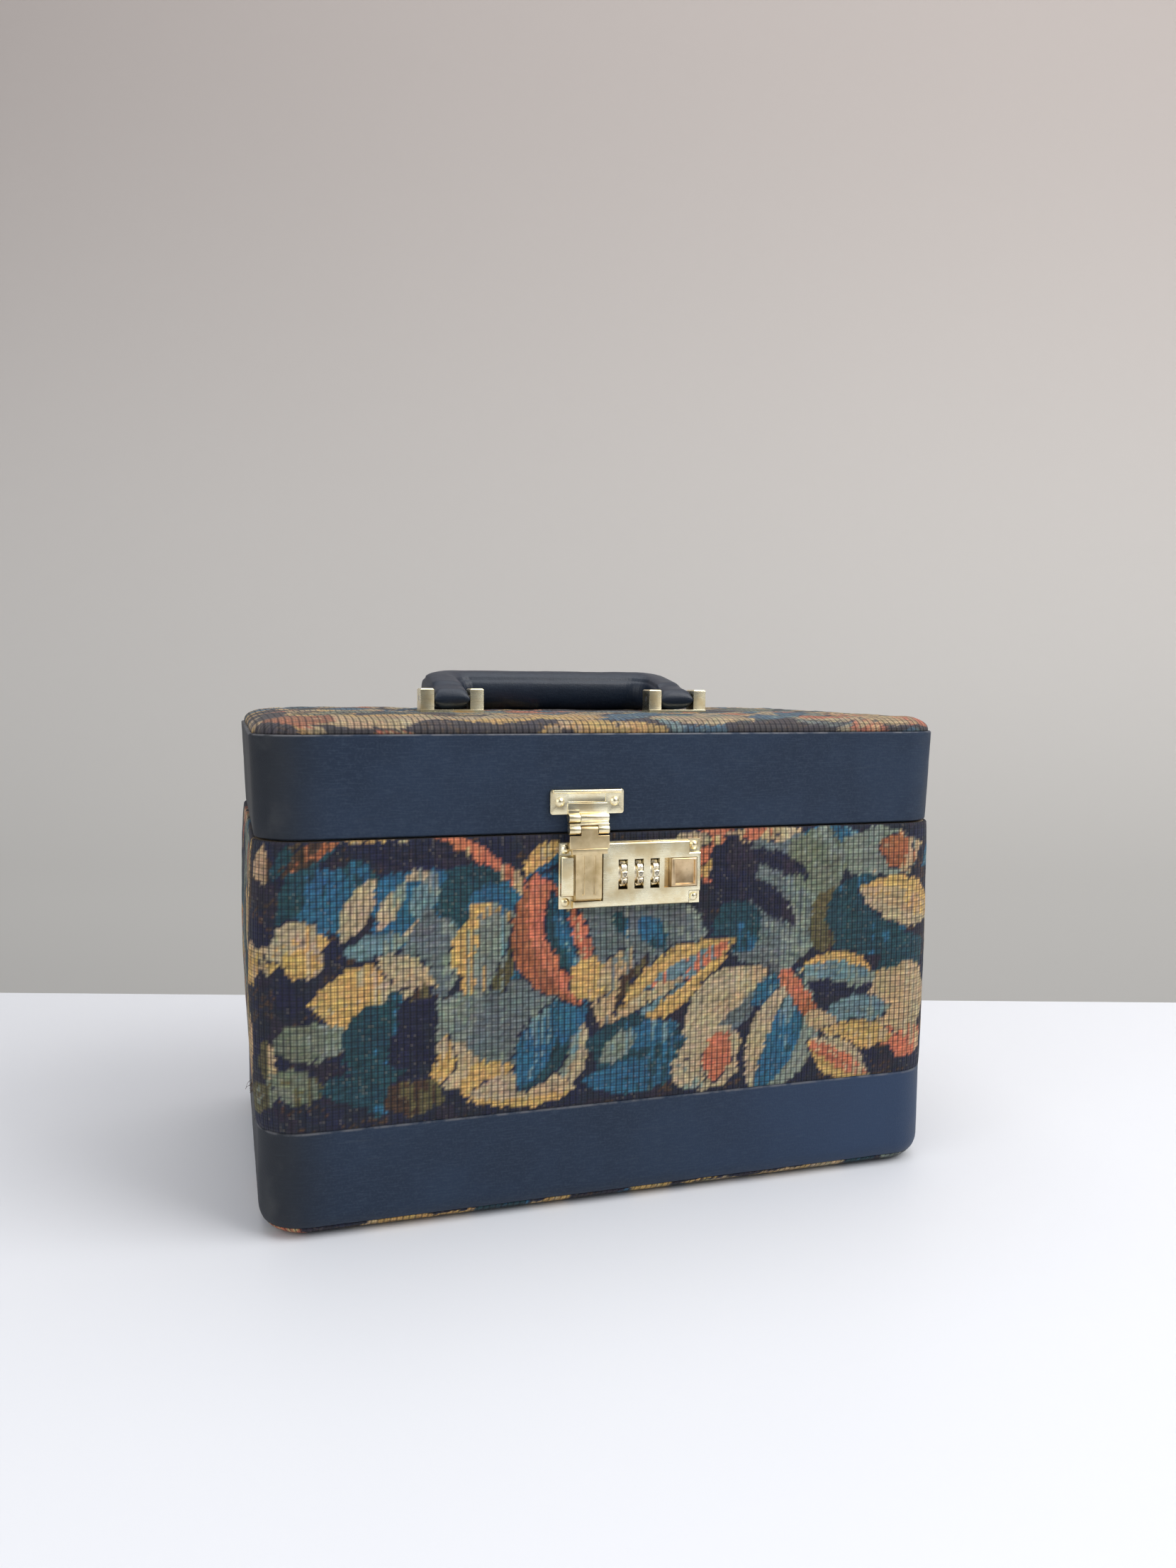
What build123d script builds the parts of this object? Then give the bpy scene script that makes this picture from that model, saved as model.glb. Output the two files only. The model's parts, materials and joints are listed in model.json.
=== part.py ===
from build123d import *
from math import asin, atan, cos, degrees, hypot, radians, sin, tan
import os

# Cosmetic train case, closed, handle folded back. Millimetres.
# +X runs to the right along the front, the front faces -Y, +Z is up.
# The origin is the centre of the base, on the surface the case stands on.

# Overall form
case_width = 330.0
case_depth = 200.0
corner_radius = 21.0
parting_height = 174.0
base_edge_radius = 12.0

# Wall layers
cover_thickness = 1.2
board_thickness = 4.0
lining_thickness = 0.8
skin_gap = 0.05

# Bands and the lid
bottom_trim_height = 4.8
lower_band_top = 48.4
seam_gap = 0.1
rim_drop = 0.4
lid_gap = 0.6
lid_band_height = 44.2
lid_inset_bottom = 0.7
lid_flare = 1.8
lid_pad_height = 6.7
lid_pad_edge_radius = 6.0
lid_pad_inset = 0.6

# Collar that locates the lid
collar_thickness = 2.0
collar_depth = 22.0
collar_rise = 5.0
collar_clearance = 0.6

# Mirror in the lid
mirror_width = 200.0
mirror_depth = 110.0
mirror_thickness = 3.0
mirror_corner_radius = 10.0
mirror_lip = 4.0
mirror_lip_thickness = 1.2
mirror_border = 8.0
mirror_clearance = 0.1
mirror_frame_edge_radius = 2.0

# Back hinges
hinge_spacing = 190.0
hinge_length = 38.0
hinge_leaf_height = 16.0
hinge_leaf_thickness = 1.2
hinge_leaf_radius = 3.0
hinge_leaf_standoff = 0.4
hinge_barrel_radius = 2.4
hinge_pin_radius = 1.1
hinge_pin_overhang = 0.3
hinge_pin_head_radius = 1.8
hinge_pin_head_height = 0.9
hinge_knuckles = 5
knuckle_gap = 0.2
leaf_seat_gap = 0.1
hinge_rivet_spacing = 22.0
hinge_rivet_rise = 8.8

# Fits and fasteners
running_clearance = 0.05
cut_overrun = 1.0
rivet_shank_radius = 1.1
rivet_head_radius = 2.1
rivet_head_height = 1.1
flush_head_radius = 1.9
flush_head_height = 0.6

# Lid stays: a slotted arm each side, pivoted on the lid, sliding on a stud in the base
stay_reach = 48.4
stay_rise = 9.5
lid_open_angle = 100.0
stay_arm_thickness = 1.2
stay_arm_width = 9.0
stay_stud_radius = 1.8
stay_head_radius = 3.4
stay_head_thickness = 1.2
stay_side_gap = 0.35
stay_plate_thickness = 1.0
stay_plate_length = 26.0
stay_plate_height = 11.0
stay_plate_corner = 2.0
stay_base_rivet_spacing = 18.2
stay_pivot_plate_length = 24.0
stay_pivot_plate_height = 12.0
stay_pivot_rivet_spacing = 16.8
stay_pivot_rivet_rise = 2.0
stay_pivot_seat_gap = 0.25
stay_boss_radius = 3.6
stay_slot_run = 2.5

# Combination lock on the front
lock_width = 68.0
lock_height = 30.0
lock_drop = 4.0
lock_flange_thickness = 1.1
lock_raise = 3.05
lock_border = 0.5
lock_edge_chamfer = 0.5
lock_notch_size = 5.5
lock_rivet_inset = 3.0
lock_seat_gap = 0.05
pocket_left = 6.0
pocket_width = 14.0
pocket_floor = 3.4
lock_wall = 0.8
lock_case_pocket_overlap = 2.0
lock_case_stem_margin = 1.6
lock_case_rise = 5.0
lock_case_bolt_margin = 2.0

# Number wheels
wheel_count = 3
wheel_radius = 6.6
wheel_width = 4.0
wheel_pitch = 7.7
wheel_first_offset = 29.45
wheel_height = 15.1
wheel_proud = 1.0
window_width = 4.4
window_height = 13.7
wheel_axle_radius = 1.3
wheel_notch_depth = 0.45
wheel_notch_width = 1.1
wheel_digits = 10
axle_web_thickness = 1.0
axle_web_gap = 1.2
axle_web_height = 7.2
axle_web_setback = 0.3
detent_thickness = 0.35
detent_clearance = 0.15
detent_drop = 8.0
detent_rise = 4.0
detent_root = 3.0

# Thumb slide and bolt
slide_travel = 3.0
slide_width = 12.6
slide_height = 13.1
slide_clearance = 0.3
slide_right_margin = 2.4
slide_proud = 0.8
slide_dish_depth = 1.9
slide_wall = 1.0
slide_edge_chamfer = 0.4
bolt_height = 2.6
bolt_level = 23.0
bolt_front_cover = 1.2
bolt_clearance = 0.2
bolt_end_room = 0.8
bolt_plate_thickness = 1.2
stem_width = 5.0
stem_height = 3.0

# Hasp
hasp_plate_width = 34.4
hasp_plate_height = 11.1
hasp_plate_lift = 8.8
hasp_plate_thickness = 1.4
hasp_plate_rim_radius = 0.9
hasp_plate_corner = 1.2
hasp_rivet_inset = 4.4
hasp_rivet_bite = 3.0
hasp_recess_inset = 0.6
hasp_recess_depth = 0.7
hasp_recess_drop = 2.2
hasp_recess_height = 3.4
hasp_strip_proud = 0.7
hasp_strip_rise = 0.4
hasp_strip_height = 4.5
hasp_knuckle_tail = 2.0
hasp_plate_seat_gap = 0.3
hasp_width = 18.6
hasp_barrel_radius = 2.1
hasp_pin_radius = 0.9
hasp_row_gap = 1.1
hasp_lower_rise = 1.9
hasp_upper_setback = 0.6
hasp_first_knuckle = 5.2
hasp_arm_knuckle = 7.9
hasp_arm_thickness = 1.5
hasp_arm_clearance = 0.3
hasp_web_thickness = 0.7
hasp_tab_thickness = 2.8
hasp_arm_top_gap = 0.4
hasp_lip_level = 25.2
hasp_lip_height = 2.4
hasp_lip_proud = 0.5
hasp_lip_inset = 1.0
end_block_width = 12.4
end_block_clearance = 0.25
end_block_proud = 0.8
end_block_floor_gap = 0.3
end_block_chamfer = 1.2
flute_depth = 0.4
flute_width = 1.0
flute_spacing = 5.2
flute_low_margin = 3.0
flute_high_margin = 1.0

# Carrying handle
handle_setback = 6.0
handle_span = 143.4
handle_leg_width = 18.4
handle_reach = 38.0
handle_grip_radius = 10.8
handle_hub_radius = 5.4
handle_pivot_rise = 7.2
grip_rest_gap = 0.4
handle_outer_corner = 13.0
handle_inner_corner = 9.0
finger_gap_overrun = 30.0
handle_pin_radius = 1.5
bracket_post_width = 7.0
bracket_post_depth = 11.0
bracket_post_height = 12.2
bracket_base_thickness = 1.3
bracket_base_depth = 12.6
bracket_side_gap = 0.3
bracket_post_chamfer = 0.6
bracket_screw_length = 9.0
bracket_screw_spacing = 7.8

# Derived places
front = -case_depth / 2
back = case_depth / 2
shell_inset = cover_thickness + skin_gap
lining_inset = shell_inset + board_thickness + skin_gap
lining_face = lining_inset + lining_thickness
lid_bottom = parting_height + lid_gap
lid_band_top = lid_bottom + lid_band_height
flare_angle = degrees(atan(lid_flare / lid_band_height))
lid_ceiling = lid_band_top - seam_gap - board_thickness
lid_lining_face = lid_ceiling - skin_gap - lining_thickness
lid_top = lid_band_top + skin_gap + lid_pad_height
collar_outer = lid_inset_bottom + lining_face + collar_clearance
collar_inner = collar_outer + collar_thickness

hinge_y = back + hinge_barrel_radius
hinge_z = parting_height
leaf_back = back + leaf_seat_gap

lock_left = -lock_width / 2
lock_right = lock_width / 2
lock_top = parting_height - lock_drop
lock_bottom = lock_top - lock_height
lock_back = front - lock_seat_gap
flange_face = lock_back - lock_flange_thickness
lock_face = flange_face - lock_raise
wheel_y = lock_face - wheel_proud + wheel_radius
wheel_z = lock_bottom + wheel_height
wheel_xs = [lock_left + wheel_first_offset + wheel_pitch * i for i in range(wheel_count)]
pocket_x0 = lock_left + pocket_left
pocket_x1 = pocket_x0 + pocket_width
pocket_centre = (pocket_x0 + pocket_x1) / 2
bolt_z0 = lock_bottom + bolt_level
bolt_z1 = bolt_z0 + bolt_height

slide_x1 = lock_right - slide_right_margin - slide_clearance
slide_x0 = slide_x1 - slide_width
slide_z0 = wheel_z - slide_height / 2
slide_z1 = wheel_z + slide_height / 2
stem_x = (slide_x0 + slide_x1) / 2
lock_case_x0 = pocket_x1 - lock_case_pocket_overlap
lock_case_x1 = stem_x + stem_width / 2 + lock_case_stem_margin
lock_case_z0 = lock_bottom + lock_case_rise
lock_case_z1 = bolt_z1 + bolt_clearance + lock_case_bolt_margin
lock_case_inner_back = wheel_y + wheel_radius + detent_clearance + detent_thickness
lock_case_back = lock_case_inner_back + lock_wall

stay_arm_outer = case_width / 2 - collar_inner - stay_plate_thickness - stay_side_gap
stay_arm_inner = stay_arm_outer - stay_arm_thickness
stay_pivot_y = hinge_y - stay_reach
stay_pivot_z = hinge_z + stay_rise
stay_stud_z = hinge_z - stay_rise
stay_radius = hypot(stay_reach, stay_rise)
stay_closed_angle = 2 * degrees(atan(stay_rise / stay_reach))
stay_shortest = 2 * stay_radius * sin(radians(stay_closed_angle / 2))
stay_longest = 2 * stay_radius * sin(radians((stay_closed_angle + lid_open_angle) / 2))

hasp_x = pocket_centre
hasp_x0 = hasp_x - hasp_width / 2
hasp_x1 = hasp_x + hasp_width / 2
arm_back = lock_face - hasp_arm_clearance
arm_front = arm_back - hasp_arm_thickness
lower_pin_y = arm_front + hasp_barrel_radius
lower_pin_z = parting_height + hasp_lower_rise
upper_pin_y = lower_pin_y + hasp_upper_setback
upper_pin_z = lower_pin_z + 2 * hasp_barrel_radius + hasp_row_gap
hasp_plate_back = front - hasp_plate_seat_gap
hasp_plate_face = hasp_plate_back - hasp_plate_thickness
hasp_plate_z0 = parting_height + hasp_plate_lift
hasp_plate_z1 = hasp_plate_z0 + hasp_plate_height

handle_y = handle_setback
handle_z = lid_top + handle_pivot_rise
grip_lift = grip_rest_gap + handle_grip_radius - handle_pivot_rise
handle_rest_angle = degrees(asin(grip_lift / handle_reach))
leg_outer = handle_span / 2
leg_inner = leg_outer - handle_leg_width
bracket_z = lid_top + skin_gap


def outline(inset):
    """Rounded plan of the case, drawn inward by the inset."""
    RectangleRounded(case_width - 2 * inset, case_depth - 2 * inset, corner_radius - inset)


def tub_block(inset, floor, top, edge_radius):
    """Solid block of the case's plan with a rounded lower edge."""
    with BuildPart() as block:
        with BuildSketch(Plane.XY.offset(floor)):
            outline(inset)
        extrude(amount=top - floor)
        fillet(block.edges().group_by(Axis.Z)[0], edge_radius)
    return block.part


def lid_block(extra_inset, low, high):
    """Solid block of the lid's plan, widening upward with the flare of the band."""
    inset = lid_inset_bottom + extra_inset - (low - lid_bottom) * tan(radians(flare_angle))
    with BuildPart() as block:
        with BuildSketch(Plane.XY.offset(low)):
            outline(inset)
        extrude(amount=high - low, taper=-flare_angle)
    return block.part


def slab(x0, x1, y0, y1, z0, z1, mode=Mode.ADD):
    """Box between two corners, added to the part being built."""
    with Locations(((x0 + x1) / 2, (y0 + y1) / 2, (z0 + z1) / 2)):
        Box(x1 - x0, y1 - y0, z1 - z0, mode=mode)


def rod(radius, x0, x1, y, z, mode=Mode.ADD):
    """Cylinder along X between two stations."""
    with Locations(Plane(origin=((x0 + x1) / 2, y, z), z_dir=(1, 0, 0))):
        Cylinder(radius, abs(x1 - x0), mode=mode)


def cut_lock_opening():
    """Opening through the front wall for the lock case."""
    slab(lock_case_x0 - bolt_clearance, lock_case_x1 + bolt_clearance,
         front - cut_overrun, front + collar_inner + cut_overrun,
         lock_case_z0 - bolt_clearance, lock_case_z1 + bolt_clearance, Mode.SUBTRACT)


def domed_rivet(shank_length, shank_radius=rivet_shank_radius, head_radius=rivet_head_radius):
    """Rivet with a low domed head above z = 0 and its shank below."""
    dome_radius = (head_radius ** 2 + rivet_head_height ** 2) / (2 * rivet_head_height)
    half_angle = asin(head_radius / dome_radius) / 2
    dome_middle = (dome_radius * sin(half_angle),
                   rivet_head_height - dome_radius * (1 - cos(half_angle)))
    with BuildPart() as rivet:
        with BuildSketch(Plane.XZ):
            with BuildLine():
                Polyline((0, rivet_head_height), (0, -shank_length), (shank_radius, -shank_length),
                         (shank_radius, 0), (head_radius, 0))
                ThreePointArc((head_radius, 0), dome_middle, (0, rivet_head_height))
            make_face()
        revolve(axis=Axis.Z)
    return rivet.part


def flush_rivet(length):
    """Rivet or screw whose flat head lies below z = 0, with its shank below the head."""
    with BuildPart() as rivet:
        with Locations((0, 0, -length / 2)):
            Cylinder(rivet_shank_radius, length)
        with Locations((0, 0, -flush_head_height / 2)):
            Cylinder(flush_head_radius, flush_head_height)
    return rivet.part


def flush_holes(planes, depth):
    """Counterbored holes that take flush rivets, in the part being built."""
    with Locations(*planes):
        CounterBoreHole(rivet_shank_radius + running_clearance,
                        flush_head_radius + running_clearance, flush_head_height, depth)


def rivet_planes(spots, direction):
    """Places for rivets whose heads face the given direction."""
    return [Plane(origin=spot, z_dir=direction) for spot in spots]


def save(builder, name):
    """Label a finished part and write it."""
    builder.part.label = name
    export_step(builder.part, f"parts/{name}.step")


os.makedirs("parts", exist_ok=True)

# Base: board tub, coverings and lining
skin_outer = tub_block(0, 0, parting_height - rim_drop / 2, base_edge_radius)
skin_inner = tub_block(cover_thickness, cover_thickness, parting_height,
                       base_edge_radius - cover_thickness)
board_outer = tub_block(shell_inset, shell_inset, parting_height - rim_drop,
                        base_edge_radius - shell_inset)
board_inset = shell_inset + board_thickness
board_inner = tub_block(board_inset, board_inset, parting_height, base_edge_radius - board_inset)
lining_outer = tub_block(lining_inset, lining_inset, parting_height - rim_drop,
                         base_edge_radius - lining_inset)
lining_inner = tub_block(lining_face, lining_face, parting_height, base_edge_radius - lining_face)

with BuildPart() as bottom_cover:
    add(skin_outer)
    add(skin_inner, mode=Mode.SUBTRACT)
    split(bisect_by=Plane.XY.offset(bottom_trim_height), keep=Keep.BOTTOM)
save(bottom_cover, "bottom_cover")

with BuildPart() as lower_band:
    add(skin_outer)
    add(skin_inner, mode=Mode.SUBTRACT)
    split(bisect_by=Plane.XY.offset(bottom_trim_height + seam_gap), keep=Keep.TOP)
    split(bisect_by=Plane.XY.offset(lower_band_top), keep=Keep.BOTTOM)
save(lower_band, "lower_band")

with BuildPart() as body_cover:
    add(skin_outer)
    add(skin_inner, mode=Mode.SUBTRACT)
    split(bisect_by=Plane.XY.offset(lower_band_top + seam_gap), keep=Keep.TOP)
    cut_lock_opening()
save(body_cover, "body_cover")

with BuildPart() as base_shell:
    add(board_outer)
    add(board_inner, mode=Mode.SUBTRACT)
    cut_lock_opening()
save(base_shell, "base_shell")

with BuildPart() as base_lining:
    add(lining_outer)
    add(lining_inner, mode=Mode.SUBTRACT)
    cut_lock_opening()
save(base_lining, "base_lining")

# Collar: a stepped board ring inside the mouth, over which the lid closes
with BuildPart() as collar:
    with BuildSketch(Plane.XY.offset(parting_height - collar_depth)):
        outline(lining_face + skin_gap)
        with BuildSketch(Plane.XY.offset(parting_height - collar_depth), mode=Mode.SUBTRACT):
            outline(collar_inner)
    extrude(amount=collar_depth - rim_drop)
    with BuildSketch(Plane.XY.offset(parting_height - rim_drop)):
        outline(collar_outer)
        with BuildSketch(Plane.XY.offset(parting_height - rim_drop), mode=Mode.SUBTRACT):
            outline(collar_inner)
    extrude(amount=collar_rise + rim_drop)
    cut_lock_opening()
save(collar, "collar")

# Lid: board tray, band, padded top and lining
with BuildPart() as lid_band:
    add(lid_block(0, lid_bottom, lid_band_top))
    add(lid_block(cover_thickness, lid_bottom, lid_band_top), mode=Mode.SUBTRACT)
save(lid_band, "lid_band")

with BuildPart() as lid_shell:
    add(lid_block(shell_inset, lid_bottom + rim_drop, lid_band_top - seam_gap))
    add(lid_block(board_inset, lid_bottom + rim_drop, lid_ceiling), mode=Mode.SUBTRACT)
save(lid_shell, "lid_shell")

lining_start = lid_bottom + 2 * rim_drop
with BuildPart() as lid_lining:
    add(lid_block(lining_inset, lining_start, lid_ceiling - skin_gap))
    add(lid_block(lining_face, lining_start, lid_lining_face), mode=Mode.SUBTRACT)
save(lid_lining, "lid_lining")

with BuildPart() as lid_top_cover:
    with BuildSketch(Plane.XY.offset(lid_band_top + skin_gap)):
        outline(lid_inset_bottom - lid_flare + lid_pad_inset)
    extrude(amount=lid_pad_height)
    fillet(lid_top_cover.edges().group_by(Axis.Z)[-1], lid_pad_edge_radius)
save(lid_top_cover, "lid_top_cover")

# Mirror and its frame, on the ceiling of the lid
frame_top = lid_lining_face - skin_gap
mirror_top = frame_top - skin_gap
frame_low = mirror_top - mirror_thickness - mirror_clearance - mirror_lip_thickness
rebate_low = frame_low + mirror_lip_thickness
with BuildPart() as mirror_frame:
    with BuildSketch(Plane.XY.offset(frame_low)):
        RectangleRounded(mirror_width + 2 * mirror_border, mirror_depth + 2 * mirror_border,
                         mirror_corner_radius + mirror_border)
    extrude(amount=frame_top - frame_low)
    fillet(mirror_frame.edges().group_by(Axis.Z)[0], mirror_frame_edge_radius)
    with BuildSketch(Plane.XY.offset(rebate_low)):
        RectangleRounded(mirror_width + 2 * mirror_clearance, mirror_depth + 2 * mirror_clearance,
                         mirror_corner_radius + mirror_clearance)
    extrude(amount=frame_top - rebate_low, mode=Mode.SUBTRACT)
    with BuildSketch(Plane.XY.offset(frame_low)):
        RectangleRounded(mirror_width - 2 * mirror_lip, mirror_depth - 2 * mirror_lip,
                         mirror_corner_radius - mirror_lip)
    extrude(amount=mirror_lip_thickness, mode=Mode.SUBTRACT)
save(mirror_frame, "mirror_frame")

with BuildPart() as mirror:
    with BuildSketch(Plane.XY.offset(mirror_top - mirror_thickness)):
        RectangleRounded(mirror_width, mirror_depth, mirror_corner_radius)
    extrude(amount=mirror_thickness)
save(mirror, "mirror")


# Back hinges: two leaves with interleaved knuckles on a headed pin
def knuckle_spans(centre_x, which):
    """Stations of the knuckles of one leaf: even ones on the base, odd ones on the lid."""
    pitch = hinge_length / hinge_knuckles
    start = centre_x - hinge_length / 2
    return [(start + pitch * i + knuckle_gap / 2, start + pitch * (i + 1) - knuckle_gap / 2)
            for i in range(hinge_knuckles) if i % 2 == which]


def hinge_leaf(centre_x, which):
    """Leaf with its knuckles: which is 0 for the base leaf and 1 for the lid leaf."""
    side = 1 if which else -1
    near = hinge_z + side * (hinge_barrel_radius + hinge_leaf_standoff)
    far = near + side * hinge_leaf_height
    with BuildPart() as leaf:
        with BuildSketch(Plane(origin=(centre_x, leaf_back, (near + far) / 2),
                               x_dir=(1, 0, 0), z_dir=(0, 1, 0))):
            RectangleRounded(hinge_length, abs(far - near), hinge_leaf_radius)
        extrude(amount=hinge_leaf_thickness)
        for x0, x1 in knuckle_spans(centre_x, which):
            slab(x0, x1, leaf_back, leaf_back + hinge_leaf_thickness,
                 min(hinge_z, near + side * hinge_leaf_radius),
                 max(hinge_z, near + side * hinge_leaf_radius))
            rod(hinge_barrel_radius, x0, x1, hinge_y, hinge_z)
        half = hinge_length / 2 + cut_overrun
        rod(hinge_pin_radius + running_clearance, centre_x - half, centre_x + half,
            hinge_y, hinge_z, Mode.SUBTRACT)
        with Locations(*rivet_planes(leaf_rivet_spots(centre_x, which), (0, 1, 0))):
            Cylinder(rivet_shank_radius + running_clearance, 4 * hinge_leaf_thickness,
                     mode=Mode.SUBTRACT)
    return leaf


def leaf_rivet_spots(centre_x, which):
    """Rivet centres on the outer face of one leaf."""
    side = 1 if which else -1
    middle = hinge_z + side * (hinge_barrel_radius + hinge_leaf_standoff + hinge_rivet_rise)
    face = leaf_back + hinge_leaf_thickness
    return [(centre_x + s * hinge_rivet_spacing / 2, face, middle) for s in (-1, 1)]


leaf_rivet_length = hinge_leaf_thickness + leaf_seat_gap + cover_thickness + board_thickness
hinge_rivet = domed_rivet(leaf_rivet_length)
for tag, sign in (("left", -1), ("right", 1)):
    hinge_x = sign * hinge_spacing / 2
    save(hinge_leaf(hinge_x, 0), f"hinge_base_leaf_{tag}")
    save(hinge_leaf(hinge_x, 1), f"hinge_lid_leaf_{tag}")
    with BuildPart() as hinge_pin:
        half_pin = hinge_length / 2 + hinge_pin_overhang
        rod(hinge_pin_radius, hinge_x - half_pin, hinge_x + half_pin, hinge_y, hinge_z)
        for end in (-1, 1):
            rod(hinge_pin_head_radius, hinge_x + end * half_pin,
                hinge_x + end * (half_pin + hinge_pin_head_height), hinge_y, hinge_z)
    save(hinge_pin, f"hinge_pin_{tag}")

for which, label in ((0, "hinge_base_rivets"), (1, "hinge_lid_rivets")):
    spots = leaf_rivet_spots(-hinge_spacing / 2, which) + leaf_rivet_spots(hinge_spacing / 2, which)
    with BuildPart() as hinge_rivets:
        with Locations(*rivet_planes(spots, (0, 1, 0))):
            add(hinge_rivet)
    save(hinge_rivets, label)

# Lid stays, left and right
stud_reach = stay_plate_thickness + stay_side_gap + stay_arm_thickness + stay_side_gap
for tag, sign in (("left", -1), ("right", 1)):
    wall_x = sign * (case_width / 2 - collar_inner - skin_gap)
    plate_x = wall_x - sign * stay_plate_thickness
    head_x = wall_x - sign * stud_reach
    base_rivet_spots = [(plate_x, stay_pivot_y + s * stay_base_rivet_spacing / 2, stay_stud_z)
                        for s in (-1, 1)]
    with BuildPart() as stay_bracket:
        slab(min(wall_x, plate_x), max(wall_x, plate_x),
             stay_pivot_y - stay_plate_length / 2, stay_pivot_y + stay_plate_length / 2,
             stay_stud_z - stay_plate_height / 2, stay_stud_z + stay_plate_height / 2)
        fillet(stay_bracket.edges().filter_by(Axis.X), stay_plate_corner)
        rod(stay_stud_radius, plate_x, head_x, stay_pivot_y, stay_stud_z)
        rod(stay_head_radius, head_x, head_x - sign * stay_head_thickness,
            stay_pivot_y, stay_stud_z)
        flush_holes(rivet_planes(base_rivet_spots, (-sign, 0, 0)), 2 * stay_plate_thickness)
    save(stay_bracket, f"stay_bracket_{tag}")

    arm_x = sign * (stay_arm_outer + stay_arm_inner) / 2
    slot_start = stay_shortest - stay_slot_run
    slot_end = stay_longest + stay_slot_run
    arm_end = slot_end + stay_arm_width / 2
    with BuildPart() as stay_arm:
        with BuildSketch(Plane(origin=(arm_x, stay_pivot_y, stay_pivot_z),
                               x_dir=(0, 0, -1), z_dir=(1, 0, 0))):
            with Locations((arm_end / 2, 0)):
                SlotCenterToCenter(arm_end, stay_arm_width)
            with Locations(((slot_start + slot_end) / 2, 0)):
                SlotCenterToCenter(slot_end - slot_start,
                                   2 * (stay_stud_radius + 2 * running_clearance),
                                   mode=Mode.SUBTRACT)
            Circle(stay_stud_radius + running_clearance, mode=Mode.SUBTRACT)
        extrude(amount=stay_arm_thickness / 2, both=True)
    save(stay_arm, f"stay_arm_{tag}")

    flare_here = (stay_pivot_z - lid_bottom) * tan(radians(flare_angle))
    lid_wall = case_width / 2 - lid_inset_bottom - lining_face + flare_here - 3 * skin_gap
    seat_x = sign * (lid_wall - stay_pivot_seat_gap)
    step_x = seat_x - sign * stay_plate_thickness
    boss_x = sign * (stay_arm_outer + stay_side_gap)
    pin_end = sign * (stay_arm_inner - stay_side_gap)
    lid_rivet_spots = [(step_x, stay_pivot_y + s * stay_pivot_rivet_spacing / 2,
                        stay_pivot_z + stay_pivot_rivet_rise) for s in (-1, 1)]
    with BuildPart() as stay_pivot:
        low_z = stay_pivot_z - stay_boss_radius
        slab(min(seat_x, step_x), max(seat_x, step_x),
             stay_pivot_y - stay_pivot_plate_length / 2, stay_pivot_y + stay_pivot_plate_length / 2,
             low_z, low_z + stay_pivot_plate_height)
        fillet(stay_pivot.edges().filter_by(Axis.X), stay_plate_corner)
        rod(stay_boss_radius, step_x, boss_x, stay_pivot_y, stay_pivot_z)
        rod(stay_stud_radius, boss_x, pin_end, stay_pivot_y, stay_pivot_z)
        rod(stay_head_radius, pin_end, pin_end - sign * stay_head_thickness,
            stay_pivot_y, stay_pivot_z)
        with Locations(*rivet_planes(lid_rivet_spots, (1, 0, 0))):
            Cylinder(rivet_shank_radius + running_clearance, 4 * stay_plate_thickness,
                     mode=Mode.SUBTRACT)
    save(stay_pivot, f"stay_pivot_{tag}")

    bracket_rivet = flush_rivet(stay_plate_thickness + collar_thickness)
    with BuildPart() as stay_base_rivets:
        with Locations(*rivet_planes(base_rivet_spots, (-sign, 0, 0))):
            add(bracket_rivet)
    save(stay_base_rivets, f"stay_base_rivets_{tag}")
    pivot_rivet = domed_rivet(stay_plate_thickness + board_thickness)
    with BuildPart() as stay_lid_rivets:
        with Locations(*rivet_planes(lid_rivet_spots, (-sign, 0, 0))):
            add(pivot_rivet)
    save(stay_lid_rivets, f"stay_lid_rivets_{tag}")

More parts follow.
